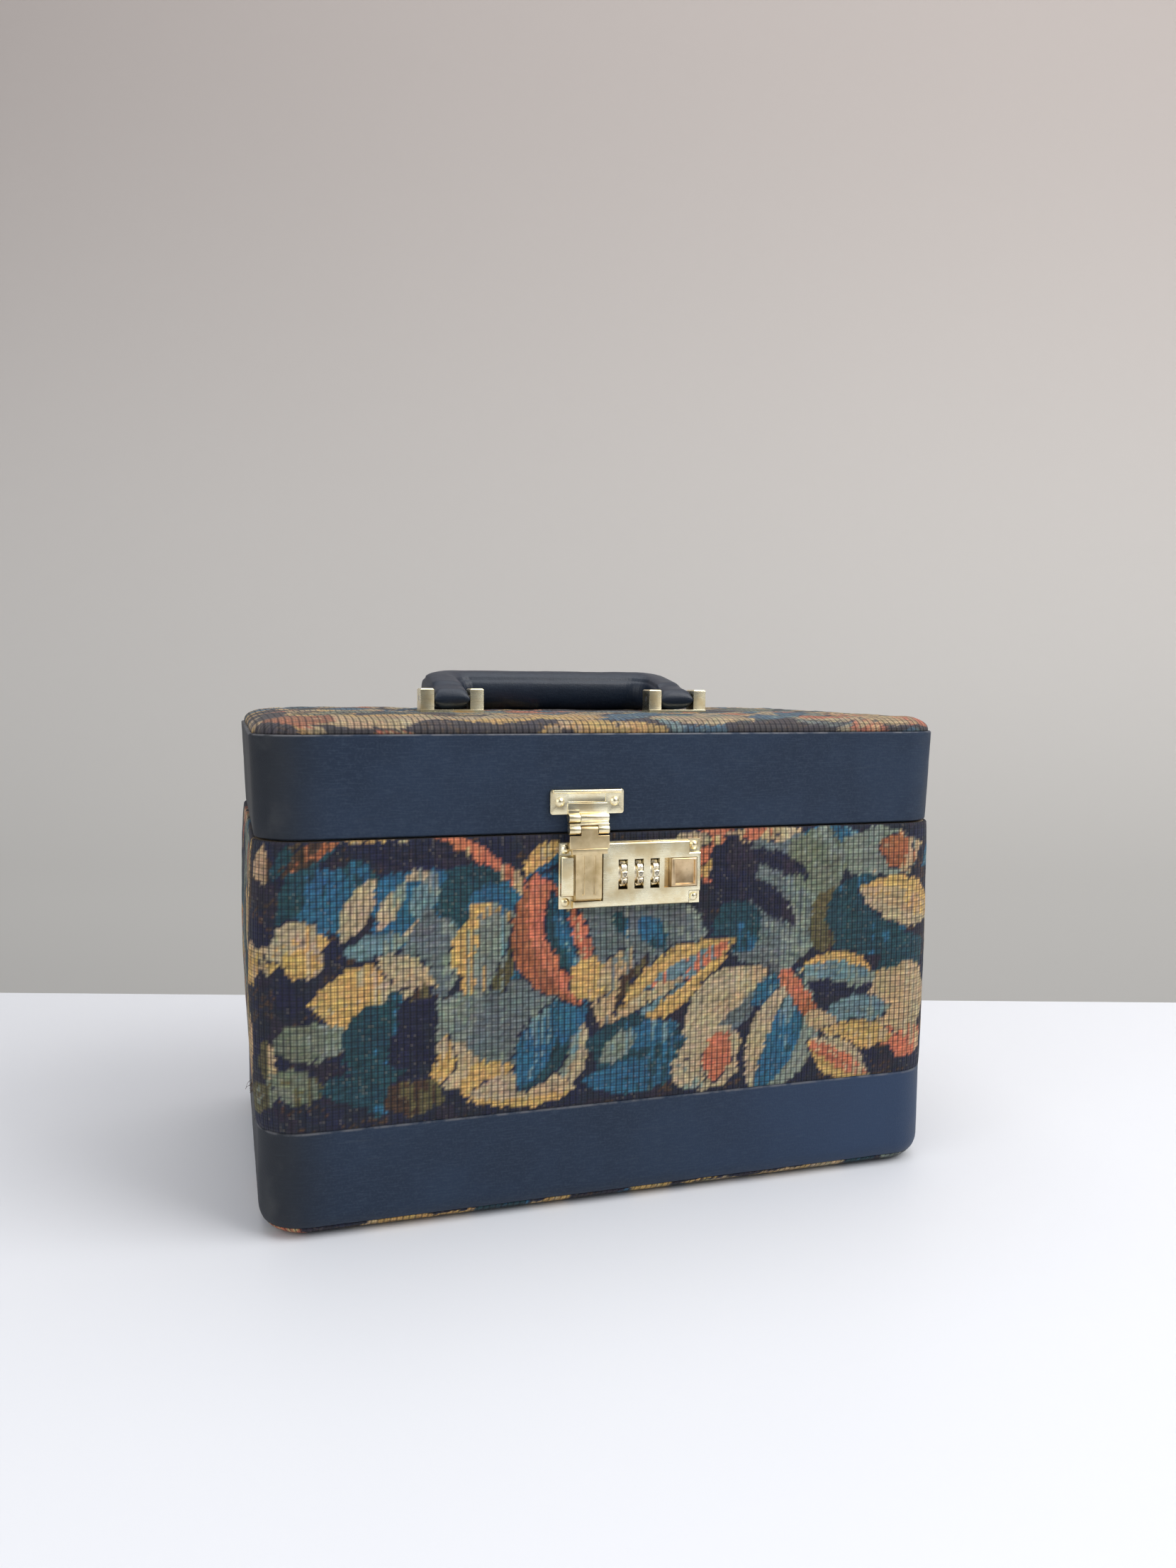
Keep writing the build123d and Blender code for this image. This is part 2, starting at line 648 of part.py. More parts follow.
# Lock plate: a thin flange with a raised body, a pocket for the hasp, windows and a slide well
body_x0 = lock_left + lock_border
body_x1 = lock_right - lock_border
body_z0 = lock_bottom + lock_border
body_z1 = lock_top - lock_border
well_x0 = slide_x0 - slide_travel - slide_clearance
well_x1 = slide_x1 + slide_clearance
with BuildPart() as lock_plate:
    slab(body_x0, body_x1, lock_face, flange_face, body_z0, body_z1)
    for corner_x, inward in ((body_x0, 1), (body_x1, -1)):
        for corner_z, upward in ((body_z0, 1), (body_z1, -1)):
            far_x = corner_x + inward * lock_notch_size
            far_z = corner_z + upward * lock_notch_size
            slab(min(corner_x, far_x), max(corner_x, far_x), lock_face, flange_face,
                 min(corner_z, far_z), max(corner_z, far_z), Mode.SUBTRACT)
    chamfer(lock_plate.faces().sort_by(Axis.Y)[0].edges(), lock_edge_chamfer)
    slab(pocket_x0, pocket_x1, lock_face, flange_face, lock_bottom + pocket_floor, lock_top,
         Mode.SUBTRACT)
    slab(lock_left, lock_right, flange_face, lock_back, lock_bottom, lock_top)
    for x in wheel_xs:
        slab(x - window_width / 2, x + window_width / 2, lock_face, lock_back,
             wheel_z - window_height / 2, wheel_z + window_height / 2, Mode.SUBTRACT)
    slab(well_x0, well_x1, lock_face, flange_face, slide_z0 - slide_clearance,
         slide_z1 + slide_clearance, Mode.SUBTRACT)
    slab(stem_x - stem_width / 2 - slide_travel - slide_clearance,
         stem_x + stem_width / 2 + slide_clearance, flange_face, lock_back,
         wheel_z - stem_height / 2 - slide_clearance, wheel_z + stem_height / 2 + slide_clearance,
         Mode.SUBTRACT)
    slab(pocket_x1, stem_x + stem_width / 2 + bolt_end_room, lock_face + bolt_front_cover - bolt_clearance,
         lock_back, bolt_z0 - bolt_clearance, bolt_z1 + bolt_clearance, Mode.SUBTRACT)
    lock_rivet_spots = [(x, flange_face, z)
                        for x in (lock_left + lock_rivet_inset, lock_right - lock_rivet_inset)
                        for z in (lock_bottom + lock_rivet_inset, lock_top - lock_rivet_inset)]
    with Locations(*rivet_planes(lock_rivet_spots, (0, 1, 0))):
        Cylinder(rivet_shank_radius + running_clearance, 4 * lock_flange_thickness,
                 mode=Mode.SUBTRACT)
save(lock_plate, "lock_plate")

lock_rivet = domed_rivet(lock_flange_thickness + lock_seat_gap + cover_thickness + board_thickness)
with BuildPart() as lock_rivets:
    with Locations(*rivet_planes(lock_rivet_spots, (0, -1, 0))):
        add(lock_rivet)
save(lock_rivets, "lock_rivets")

# Lock case: an open-fronted box let into the wall, with two webs that carry the wheel axle
axle_x0 = wheel_xs[0] - wheel_width / 2 - axle_web_gap
axle_x1 = wheel_xs[-1] + wheel_width / 2 + axle_web_gap
with BuildPart() as lock_case:
    slab(lock_case_x0, lock_case_x1, lock_back, lock_case_back, lock_case_z0, lock_case_z1)
    slab(lock_case_x0 + lock_wall, lock_case_x1 - lock_wall, lock_back, lock_case_inner_back,
         lock_case_z0 + lock_wall, lock_case_z1 - lock_wall, Mode.SUBTRACT)
    for x0 in (axle_x0 - axle_web_thickness, axle_x1):
        slab(x0, x0 + axle_web_thickness, lock_back + axle_web_setback, lock_case_inner_back,
             wheel_z - axle_web_height / 2, wheel_z + axle_web_height / 2)
    rod(wheel_axle_radius + running_clearance / 2, axle_x0 - 2 * axle_web_thickness,
        axle_x1 + 2 * axle_web_thickness, wheel_y, wheel_z, Mode.SUBTRACT)
save(lock_case, "lock_case")

with BuildPart() as wheel_axle:
    rod(wheel_axle_radius, axle_x0 - axle_web_thickness, axle_x1 + axle_web_thickness,
        wheel_y, wheel_z)
save(wheel_axle, "wheel_axle")

# Detent spring: a thin strip behind the wheels, slit into one finger for each
with BuildPart() as detent_spring:
    slab(wheel_xs[0] - wheel_width / 2, wheel_xs[-1] + wheel_width / 2,
         lock_case_inner_back - detent_thickness, lock_case_inner_back,
         wheel_z - detent_drop, wheel_z + detent_rise)
    for x in wheel_xs[:-1]:
        slab(x + wheel_width / 2, x + wheel_pitch - wheel_width / 2,
             lock_case_inner_back - detent_thickness, lock_case_inner_back,
             wheel_z - detent_drop + detent_root, wheel_z + detent_rise, Mode.SUBTRACT)
save(detent_spring, "detent_spring")

for index, x in enumerate(wheel_xs):
    with BuildPart() as number_wheel:
        with BuildSketch(Plane(origin=(x, wheel_y, wheel_z), x_dir=(0, 1, 0), z_dir=(1, 0, 0))):
            Circle(wheel_radius)
            Circle(wheel_axle_radius + running_clearance, mode=Mode.SUBTRACT)
            with PolarLocations(wheel_radius, wheel_digits, 180 / wheel_digits):
                Rectangle(2 * wheel_notch_depth, wheel_notch_width, mode=Mode.SUBTRACT)
        extrude(amount=wheel_width / 2, both=True)
    save(number_wheel, f"number_wheel_{index + 1}")

# Thumb slide with its dished face, and the bolt bar behind it
slide_face = lock_face - slide_proud
slide_back = flange_face - bolt_clearance
bolt_plate_front = lock_back + bolt_clearance
with BuildPart() as thumb_slide:
    slab(slide_x0, slide_x1, slide_face, slide_back, slide_z0, slide_z1)
    chamfer(thumb_slide.faces().sort_by(Axis.Y)[0].edges(), slide_edge_chamfer)
    slab(slide_x0 + 2 * slide_wall, slide_x1 - slide_wall, slide_face,
         slide_face + slide_dish_depth, slide_z0 + slide_wall, slide_z1 - slide_wall, Mode.SUBTRACT)
    slab(stem_x - stem_width / 2, stem_x + stem_width / 2, slide_back, bolt_plate_front,
         wheel_z - stem_height / 2, wheel_z + stem_height / 2)
save(thumb_slide, "thumb_slide")

bolt_front = lock_face + bolt_front_cover
with BuildPart() as lock_bolt:
    slab(pocket_x1 + bolt_clearance, stem_x, bolt_front, slide_back, bolt_z0, bolt_z1)
    slab(pocket_x1 + slide_travel + bolt_clearance, stem_x + stem_width / 2, bolt_front,
         bolt_plate_front + bolt_plate_thickness, bolt_z0, bolt_z1)
    slab(stem_x - stem_width / 2, stem_x + stem_width / 2, bolt_plate_front,
         bolt_plate_front + bolt_plate_thickness, wheel_z - stem_height / 2, bolt_z0)
save(lock_bolt, "lock_bolt")

# Hasp plate on the lid
first_x1 = hasp_x0 + hasp_first_knuckle
arm_x0 = first_x1 + knuckle_gap
arm_x1 = arm_x0 + hasp_arm_knuckle
hasp_plate_x0 = hasp_x - hasp_plate_width / 2
hasp_plate_x1 = hasp_x + hasp_plate_width / 2
recess_top = hasp_plate_z1 - hasp_recess_drop
strip_low = hasp_plate_z0 + hasp_strip_rise
hasp_rivet_spots = [(x, hasp_plate_face, (hasp_plate_z0 + hasp_plate_z1) / 2)
                    for x in (hasp_plate_x0 + hasp_rivet_inset, hasp_plate_x1 - hasp_rivet_inset)]
with BuildPart() as hasp_plate:
    slab(hasp_plate_x0, hasp_plate_x1, hasp_plate_face, hasp_plate_back,
         hasp_plate_z0, hasp_plate_z1)
    fillet(hasp_plate.edges().filter_by(Axis.Y), hasp_plate_corner)
    rod(hasp_plate_rim_radius, hasp_plate_x0 + hasp_plate_corner,
        hasp_plate_x1 - hasp_plate_corner, hasp_plate_face, hasp_plate_z1 - hasp_plate_rim_radius)
    slab(hasp_x0 + hasp_recess_inset, hasp_x1 - hasp_recess_inset,
         hasp_plate_face, hasp_plate_face + hasp_recess_depth,
         recess_top - hasp_recess_height, recess_top, Mode.SUBTRACT)
    slab(hasp_x0, hasp_x1, hasp_plate_face - hasp_strip_proud, hasp_plate_face,
         strip_low, strip_low + hasp_strip_height)
    slab(hasp_x0, first_x1, upper_pin_y, hasp_plate_back, upper_pin_z,
         hasp_plate_z0 + hasp_knuckle_tail)
    rod(hasp_barrel_radius, hasp_x0, first_x1, upper_pin_y, upper_pin_z)
    rod(hasp_pin_radius + running_clearance / 2, hasp_x0 - cut_overrun, first_x1 + cut_overrun,
        upper_pin_y, upper_pin_z, Mode.SUBTRACT)
    with Locations(*rivet_planes(hasp_rivet_spots, (0, 1, 0))):
        Cylinder(rivet_shank_radius + running_clearance, 4 * hasp_plate_thickness,
                 mode=Mode.SUBTRACT)
save(hasp_plate, "hasp_plate")

hasp_rivet = domed_rivet(hasp_plate_thickness + hasp_plate_seat_gap + cover_thickness
                         + hasp_rivet_bite)
with BuildPart() as hasp_rivets:
    with Locations(*rivet_planes(hasp_rivet_spots, (0, -1, 0))):
        add(hasp_rivet)
save(hasp_rivets, "hasp_rivets")

# Hasp link: long upper barrel, two lower barrels and a thin web between the rows
web_y = (upper_pin_y + lower_pin_y) / 2
web_z = (upper_pin_z + lower_pin_z) / 2
half_tab = hasp_tab_thickness / 2
with BuildPart() as hasp_link:
    slab(hasp_x0, hasp_x1, web_y - hasp_barrel_radius, web_y + hasp_barrel_radius,
         web_z - hasp_web_thickness / 2, web_z + hasp_web_thickness / 2)
    slab(arm_x0, hasp_x1, upper_pin_y - half_tab, upper_pin_y + half_tab, web_z, upper_pin_z)
    rod(hasp_barrel_radius, arm_x0, hasp_x1, upper_pin_y, upper_pin_z)
    for x0, x1 in ((hasp_x0, first_x1), (arm_x1 + knuckle_gap, hasp_x1)):
        slab(x0, x1, lower_pin_y - half_tab, lower_pin_y + half_tab, lower_pin_z, web_z)
        rod(hasp_barrel_radius, x0, x1, lower_pin_y, lower_pin_z)
    for pin_y, pin_z, bore in ((upper_pin_y, upper_pin_z, running_clearance),
                               (lower_pin_y, lower_pin_z, running_clearance / 2)):
        rod(hasp_pin_radius + bore, hasp_x0 - cut_overrun, hasp_x1 + cut_overrun, pin_y, pin_z,
            Mode.SUBTRACT)
save(hasp_link, "hasp_link")

for label, pin_y, pin_z in (("hasp_pin_upper", upper_pin_y, upper_pin_z),
                            ("hasp_pin_lower", lower_pin_y, lower_pin_z)):
    with BuildPart() as hasp_pin:
        rod(hasp_pin_radius, hasp_x0, hasp_x1, pin_y, pin_z)
    save(hasp_pin, label)

# Hasp arm: a knuckle, a plate over the lock's top edge, a lip and the end block in the pocket
plate_top = lower_pin_z - hasp_barrel_radius - hasp_arm_top_gap
lip_z0 = lock_bottom + hasp_lip_level
lip_z1 = lip_z0 + hasp_lip_height
block_x0 = pocket_centre - end_block_width / 2
block_x1 = pocket_centre + end_block_width / 2
block_z0 = lock_bottom + pocket_floor + end_block_floor_gap
block_front = lock_face - end_block_proud
block_back = flange_face - end_block_clearance
with BuildPart() as hasp_arm:
    slab(block_x0, block_x1, block_front, block_back, block_z0, lip_z1)
    chamfer(hasp_arm.edges().filter_by(Axis.X).group_by(Axis.Z)[0].sort_by(Axis.Y)[0],
            end_block_chamfer)
    slab(hasp_x0, hasp_x1, arm_front, arm_back, lip_z1, plate_top)
    slab(hasp_x0 + hasp_lip_inset, hasp_x1 - hasp_lip_inset, arm_front - hasp_lip_proud, arm_back,
         lip_z0, lip_z1)
    slab(arm_x0, arm_x1, arm_front, lower_pin_y, plate_top, lower_pin_z)
    rod(hasp_barrel_radius, arm_x0, arm_x1, lower_pin_y, lower_pin_z)
    rod(hasp_pin_radius + running_clearance, arm_x0 - cut_overrun, arm_x1 + cut_overrun,
        lower_pin_y, lower_pin_z, Mode.SUBTRACT)
    for side in (-1, 1):
        flute_x = pocket_centre + side * flute_spacing / 2
        slab(flute_x - flute_width / 2, flute_x + flute_width / 2, block_front,
             block_front + flute_depth, block_z0 + flute_low_margin, lip_z0 - flute_high_margin,
             Mode.SUBTRACT)
    slab(block_x1 - slide_travel + bolt_clearance, block_x1,
         bolt_front - 2 * bolt_clearance, block_back,
         bolt_z0 - 2 * bolt_clearance, bolt_z1 + 2 * bolt_clearance, Mode.SUBTRACT)
save(hasp_arm, "hasp_arm")

# Handle brackets: a base plate with two lugs that hold the pivot pin
bracket_screw = flush_rivet(bracket_screw_length)
for tag, sign in (("left", -1), ("right", 1)):
    lug_spans = [(leg_outer + bracket_side_gap, leg_outer + bracket_side_gap + bracket_post_width),
                 (leg_inner - bracket_side_gap - bracket_post_width, leg_inner - bracket_side_gap)]
    plate_far = lug_spans[0][1]
    plate_near = lug_spans[1][0]
    screw_spots = [(sign * (plate_near + plate_far) / 2, handle_y + s * bracket_screw_spacing / 2,
                    bracket_z + bracket_base_thickness) for s in (-1, 1)]
    with BuildPart() as handle_bracket:
        slab(min(sign * plate_near, sign * plate_far), max(sign * plate_near, sign * plate_far),
             handle_y - bracket_base_depth / 2, handle_y + bracket_base_depth / 2,
             bracket_z, bracket_z + bracket_base_thickness)
        for near, far in lug_spans:
            slab(min(sign * near, sign * far), max(sign * near, sign * far),
                 handle_y - bracket_post_depth / 2, handle_y + bracket_post_depth / 2,
                 bracket_z, bracket_z + bracket_post_height)
        chamfer(handle_bracket.faces().group_by(Axis.Z)[-1].edges(), bracket_post_chamfer)
        rod(handle_pin_radius + running_clearance / 2, sign * (plate_near - cut_overrun),
            sign * (plate_far + cut_overrun), handle_y, handle_z, Mode.SUBTRACT)
        flush_holes(rivet_planes(screw_spots, (0, 0, 1)), 2 * bracket_base_thickness)
    save(handle_bracket, f"handle_bracket_{tag}")
    with BuildPart() as handle_pin:
        rod(handle_pin_radius, sign * plate_near, sign * plate_far, handle_y, handle_z)
    save(handle_pin, f"handle_pin_{tag}")
    with BuildPart() as bracket_screws:
        with Locations(*rivet_planes(screw_spots, (0, 0, 1))):
            add(bracket_screw)
    save(bracket_screws, f"bracket_screws_{tag}")

# Handle grip: a plan view with the finger gap, crossed with a tapering side view
with BuildPart() as handle_grip:
    with BuildSketch(Plane.XY.offset(-handle_grip_radius)):
        with Locations((0, (handle_reach + handle_grip_radius - handle_hub_radius) / 2)):
            Rectangle(handle_span, handle_reach + handle_grip_radius + handle_hub_radius)
        with Locations((0, (handle_reach - handle_grip_radius - finger_gap_overrun) / 2)):
            RectangleRounded(2 * leg_inner, handle_reach - handle_grip_radius + finger_gap_overrun,
                             handle_inner_corner, mode=Mode.SUBTRACT)
    extrude(amount=2 * handle_grip_radius)
    fillet(handle_grip.edges().filter_by(Axis.Z).group_by(Axis.Y)[-1], handle_outer_corner)
    with BuildSketch(Plane.YZ.offset(-handle_span / 2)) as side_view:
        Circle(handle_hub_radius)
        with Locations((handle_reach, 0)):
            Circle(handle_grip_radius)
        make_hull()
    extrude(amount=handle_span, mode=Mode.INTERSECT)
    rod(handle_pin_radius + running_clearance, -handle_span, handle_span, 0, 0, Mode.SUBTRACT)
handle_pose = Location((0, handle_y, handle_z), (handle_rest_angle, 0, 0))
with BuildPart() as handle_placed:
    with Locations(handle_pose):
        add(handle_grip.part)
save(handle_placed, "handle_grip")
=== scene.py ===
import bpy
import bmesh
import json
import numpy as np
from math import atan2, cos, pi, radians, sin
from mathutils import Matrix, Vector


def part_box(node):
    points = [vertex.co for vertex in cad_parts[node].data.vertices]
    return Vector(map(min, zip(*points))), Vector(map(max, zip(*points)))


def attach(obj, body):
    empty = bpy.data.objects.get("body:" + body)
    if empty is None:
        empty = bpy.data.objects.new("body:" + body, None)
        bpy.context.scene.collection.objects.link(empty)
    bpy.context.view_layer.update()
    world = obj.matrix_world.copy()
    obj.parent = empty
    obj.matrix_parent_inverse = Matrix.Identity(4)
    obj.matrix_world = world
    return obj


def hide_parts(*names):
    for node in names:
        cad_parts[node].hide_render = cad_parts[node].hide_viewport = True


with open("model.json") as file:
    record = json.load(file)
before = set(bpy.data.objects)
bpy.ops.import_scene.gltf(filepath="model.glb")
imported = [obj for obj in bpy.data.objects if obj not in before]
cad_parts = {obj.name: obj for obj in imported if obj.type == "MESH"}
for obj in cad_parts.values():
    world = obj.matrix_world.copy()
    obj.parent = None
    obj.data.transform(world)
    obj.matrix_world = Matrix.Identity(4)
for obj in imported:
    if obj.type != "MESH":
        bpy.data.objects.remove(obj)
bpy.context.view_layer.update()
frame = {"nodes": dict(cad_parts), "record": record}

# Sizes of the case, in metres
HALF_W, HALF_D, CORNER = 0.165, 0.100, 0.021
BAND_TOP, PARTING = 0.0484, 0.174
LID_LOW, LID_BAND_TOP, LID_TOP = 0.1746, 0.2188, 0.22555
THREAD = 0.0014
FOOT_RADIUS, STRIP_TOP, BAND_FOOT = 0.012, 0.0048, 0.0049
BRACKET_X, PIVOT_Y, PIVOT_Z = 0.0625, 0.006, 0.23275
EYE = Vector((-0.17669, -0.59755, 0.24152))
FRONT_FLAT = HALF_W - CORNER
SIDE_FLAT = HALF_D - CORNER
QUARTER = CORNER * pi / 2
GIRTH = 4 * (FRONT_FLAT + SIDE_FLAT) + 4 * QUARTER


# Meshes

def put_mesh(name, body, points, faces, uv=None, colour=None, smooth=True):
    """Object at the origin from an array of points and arrays of faces, riding on a body."""
    mesh = bpy.data.meshes.new(name)
    loops = np.concatenate([np.ravel(f) for f in faces]).astype(np.int32)
    sizes = np.concatenate([np.full(len(f), f.shape[1]) for f in faces]).astype(np.int32)
    starts = np.concatenate([[0], np.cumsum(sizes)[:-1]]).astype(np.int32)
    mesh.vertices.add(len(points))
    mesh.vertices.foreach_set("co", np.asarray(points, np.float32).ravel())
    mesh.loops.add(len(loops))
    mesh.loops.foreach_set("vertex_index", loops)
    mesh.polygons.add(len(sizes))
    mesh.polygons.foreach_set("loop_start", starts)
    mesh.update(calc_edges=True)
    mesh.validate()
    if uv is not None:
        layer = mesh.uv_layers.new(name="threads")
        layer.data.foreach_set("uv", np.asarray(uv, np.float32)[loops].ravel())
    if colour is not None:
        layer = mesh.color_attributes.new("weft", "FLOAT_COLOR", "POINT")
        rgba = np.concatenate([colour, np.ones((len(colour), 1))], 1)
        layer.data.foreach_set("color", rgba.astype(np.float32).ravel())
    mesh.polygons.foreach_set("use_smooth", np.full(len(sizes), smooth))
    piece = bpy.data.objects.new(name, mesh)
    bpy.context.collection.objects.link(piece)
    if body:
        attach(piece, body)
    return piece


def grid_faces(rows, columns, closed_rows=False, closed_columns=False, flip=False):
    """Quads of a grid stored row by row; a closed direction joins its last line to its first."""
    i = np.arange(rows if closed_rows else rows - 1)[:, None]
    j = np.arange(columns if closed_columns else columns - 1)[None, :]
    i2, j2 = (i + 1) % rows, (j + 1) % columns
    quads = np.stack([i * columns + j, i * columns + j2, i2 * columns + j2, i2 * columns + j], -1)
    quads = quads.reshape(-1, 4)
    return quads[:, ::-1] if flip else quads


def plan_point(s, flat_x=FRONT_FLAT, flat_y=SIDE_FLAT, corner=CORNER):
    """Point and outward normal on a rounded plan at arc length s from the front's middle.

    The front flat runs to s = flat_x, a quarter circle follows, then the side flat, the next
    quarter circle and half the back; negative s mirrors this to the left.
    """
    side = np.where(s < 0, -1.0, 1.0)
    t, quarter = np.abs(s), corner * pi / 2
    a, b, c = flat_x, flat_x + quarter, flat_x + quarter + 2 * flat_y
    d = c + quarter
    turn1 = np.clip((t - a) / corner, 0, pi / 2)
    turn2 = np.clip((t - c) / corner, 0, pi / 2)
    x = np.where(t < a, t, flat_x + corner * np.sin(turn1))
    x = np.where(t > c, flat_x + corner * np.cos(turn2), x)
    x = np.where(t > d, flat_x - (t - d), x)
    y = -flat_y - corner * np.cos(turn1) + np.clip(t - b, 0, 2 * flat_y)
    y = np.where(t > c, flat_y + corner * np.sin(turn2), y)
    nx = np.where(t > c, np.cos(turn2), np.sin(turn1))
    ny = np.where(t > c, np.sin(turn2), -np.cos(turn1))
    return np.stack([side * x, y], -1), np.stack([side * nx, ny], -1)


def wrapped(stations, out, height):
    """Grid round the case: row k stands out[k] from the plan at height[k], both free along s."""
    plan, normal = plan_point(stations)
    out = np.broadcast_to(np.asarray(out, float), (np.shape(height)[0], len(stations)))
    height = np.broadcast_to(np.asarray(height, float), out.shape)
    xy = plan[None] + normal[None] * out[..., None]
    return np.concatenate([xy, height[..., None]], -1)


def ramp(value, low, high):
    """Smooth step from 0 at low to 1 at high."""
    t = np.clip((value - low) / (high - low), 0, 1)
    return t * t * (3 - 2 * t)


def waves(p, seed, size, octaves=3):
    """Sum of sine waves in random directions, of the given size and half as large each octave."""
    rng = np.random.default_rng(seed)
    total = np.zeros(p.shape[:-1])
    for k in range(octaves):
        for _ in range(5):
            direction = rng.normal(size=p.shape[-1])
            direction /= np.linalg.norm(direction)
            phase = rng.uniform(0, 2 * pi)
            total += np.sin((p @ direction) * 2 * pi * 2 ** k / size + phase) / (5 * 1.6 ** k)
    return total


# Tapestry colours and motifs. Places and sizes are in millimetres on the unrolled front.
THREADS = {
    "ground": (0.014, 0.017, 0.030), "night": (0.012, 0.014, 0.034), "plum": (0.021, 0.018, 0.031),
    "ochre": (0.46, 0.295, 0.105), "sand": (0.38, 0.275, 0.155), "beige": (0.355, 0.285, 0.180),
    "coral": (0.43, 0.135, 0.075), "rust": (0.27, 0.095, 0.045), "blue": (0.022, 0.093, 0.165),
    "sky": (0.115, 0.19, 0.215), "mist": (0.165, 0.195, 0.165), "grey": (0.105, 0.13, 0.135),
    "teal": (0.014, 0.046, 0.062), "sage": (0.125, 0.145, 0.105), "olive": (0.085, 0.075, 0.035),
    "brown": (0.050, 0.030, 0.020),
}
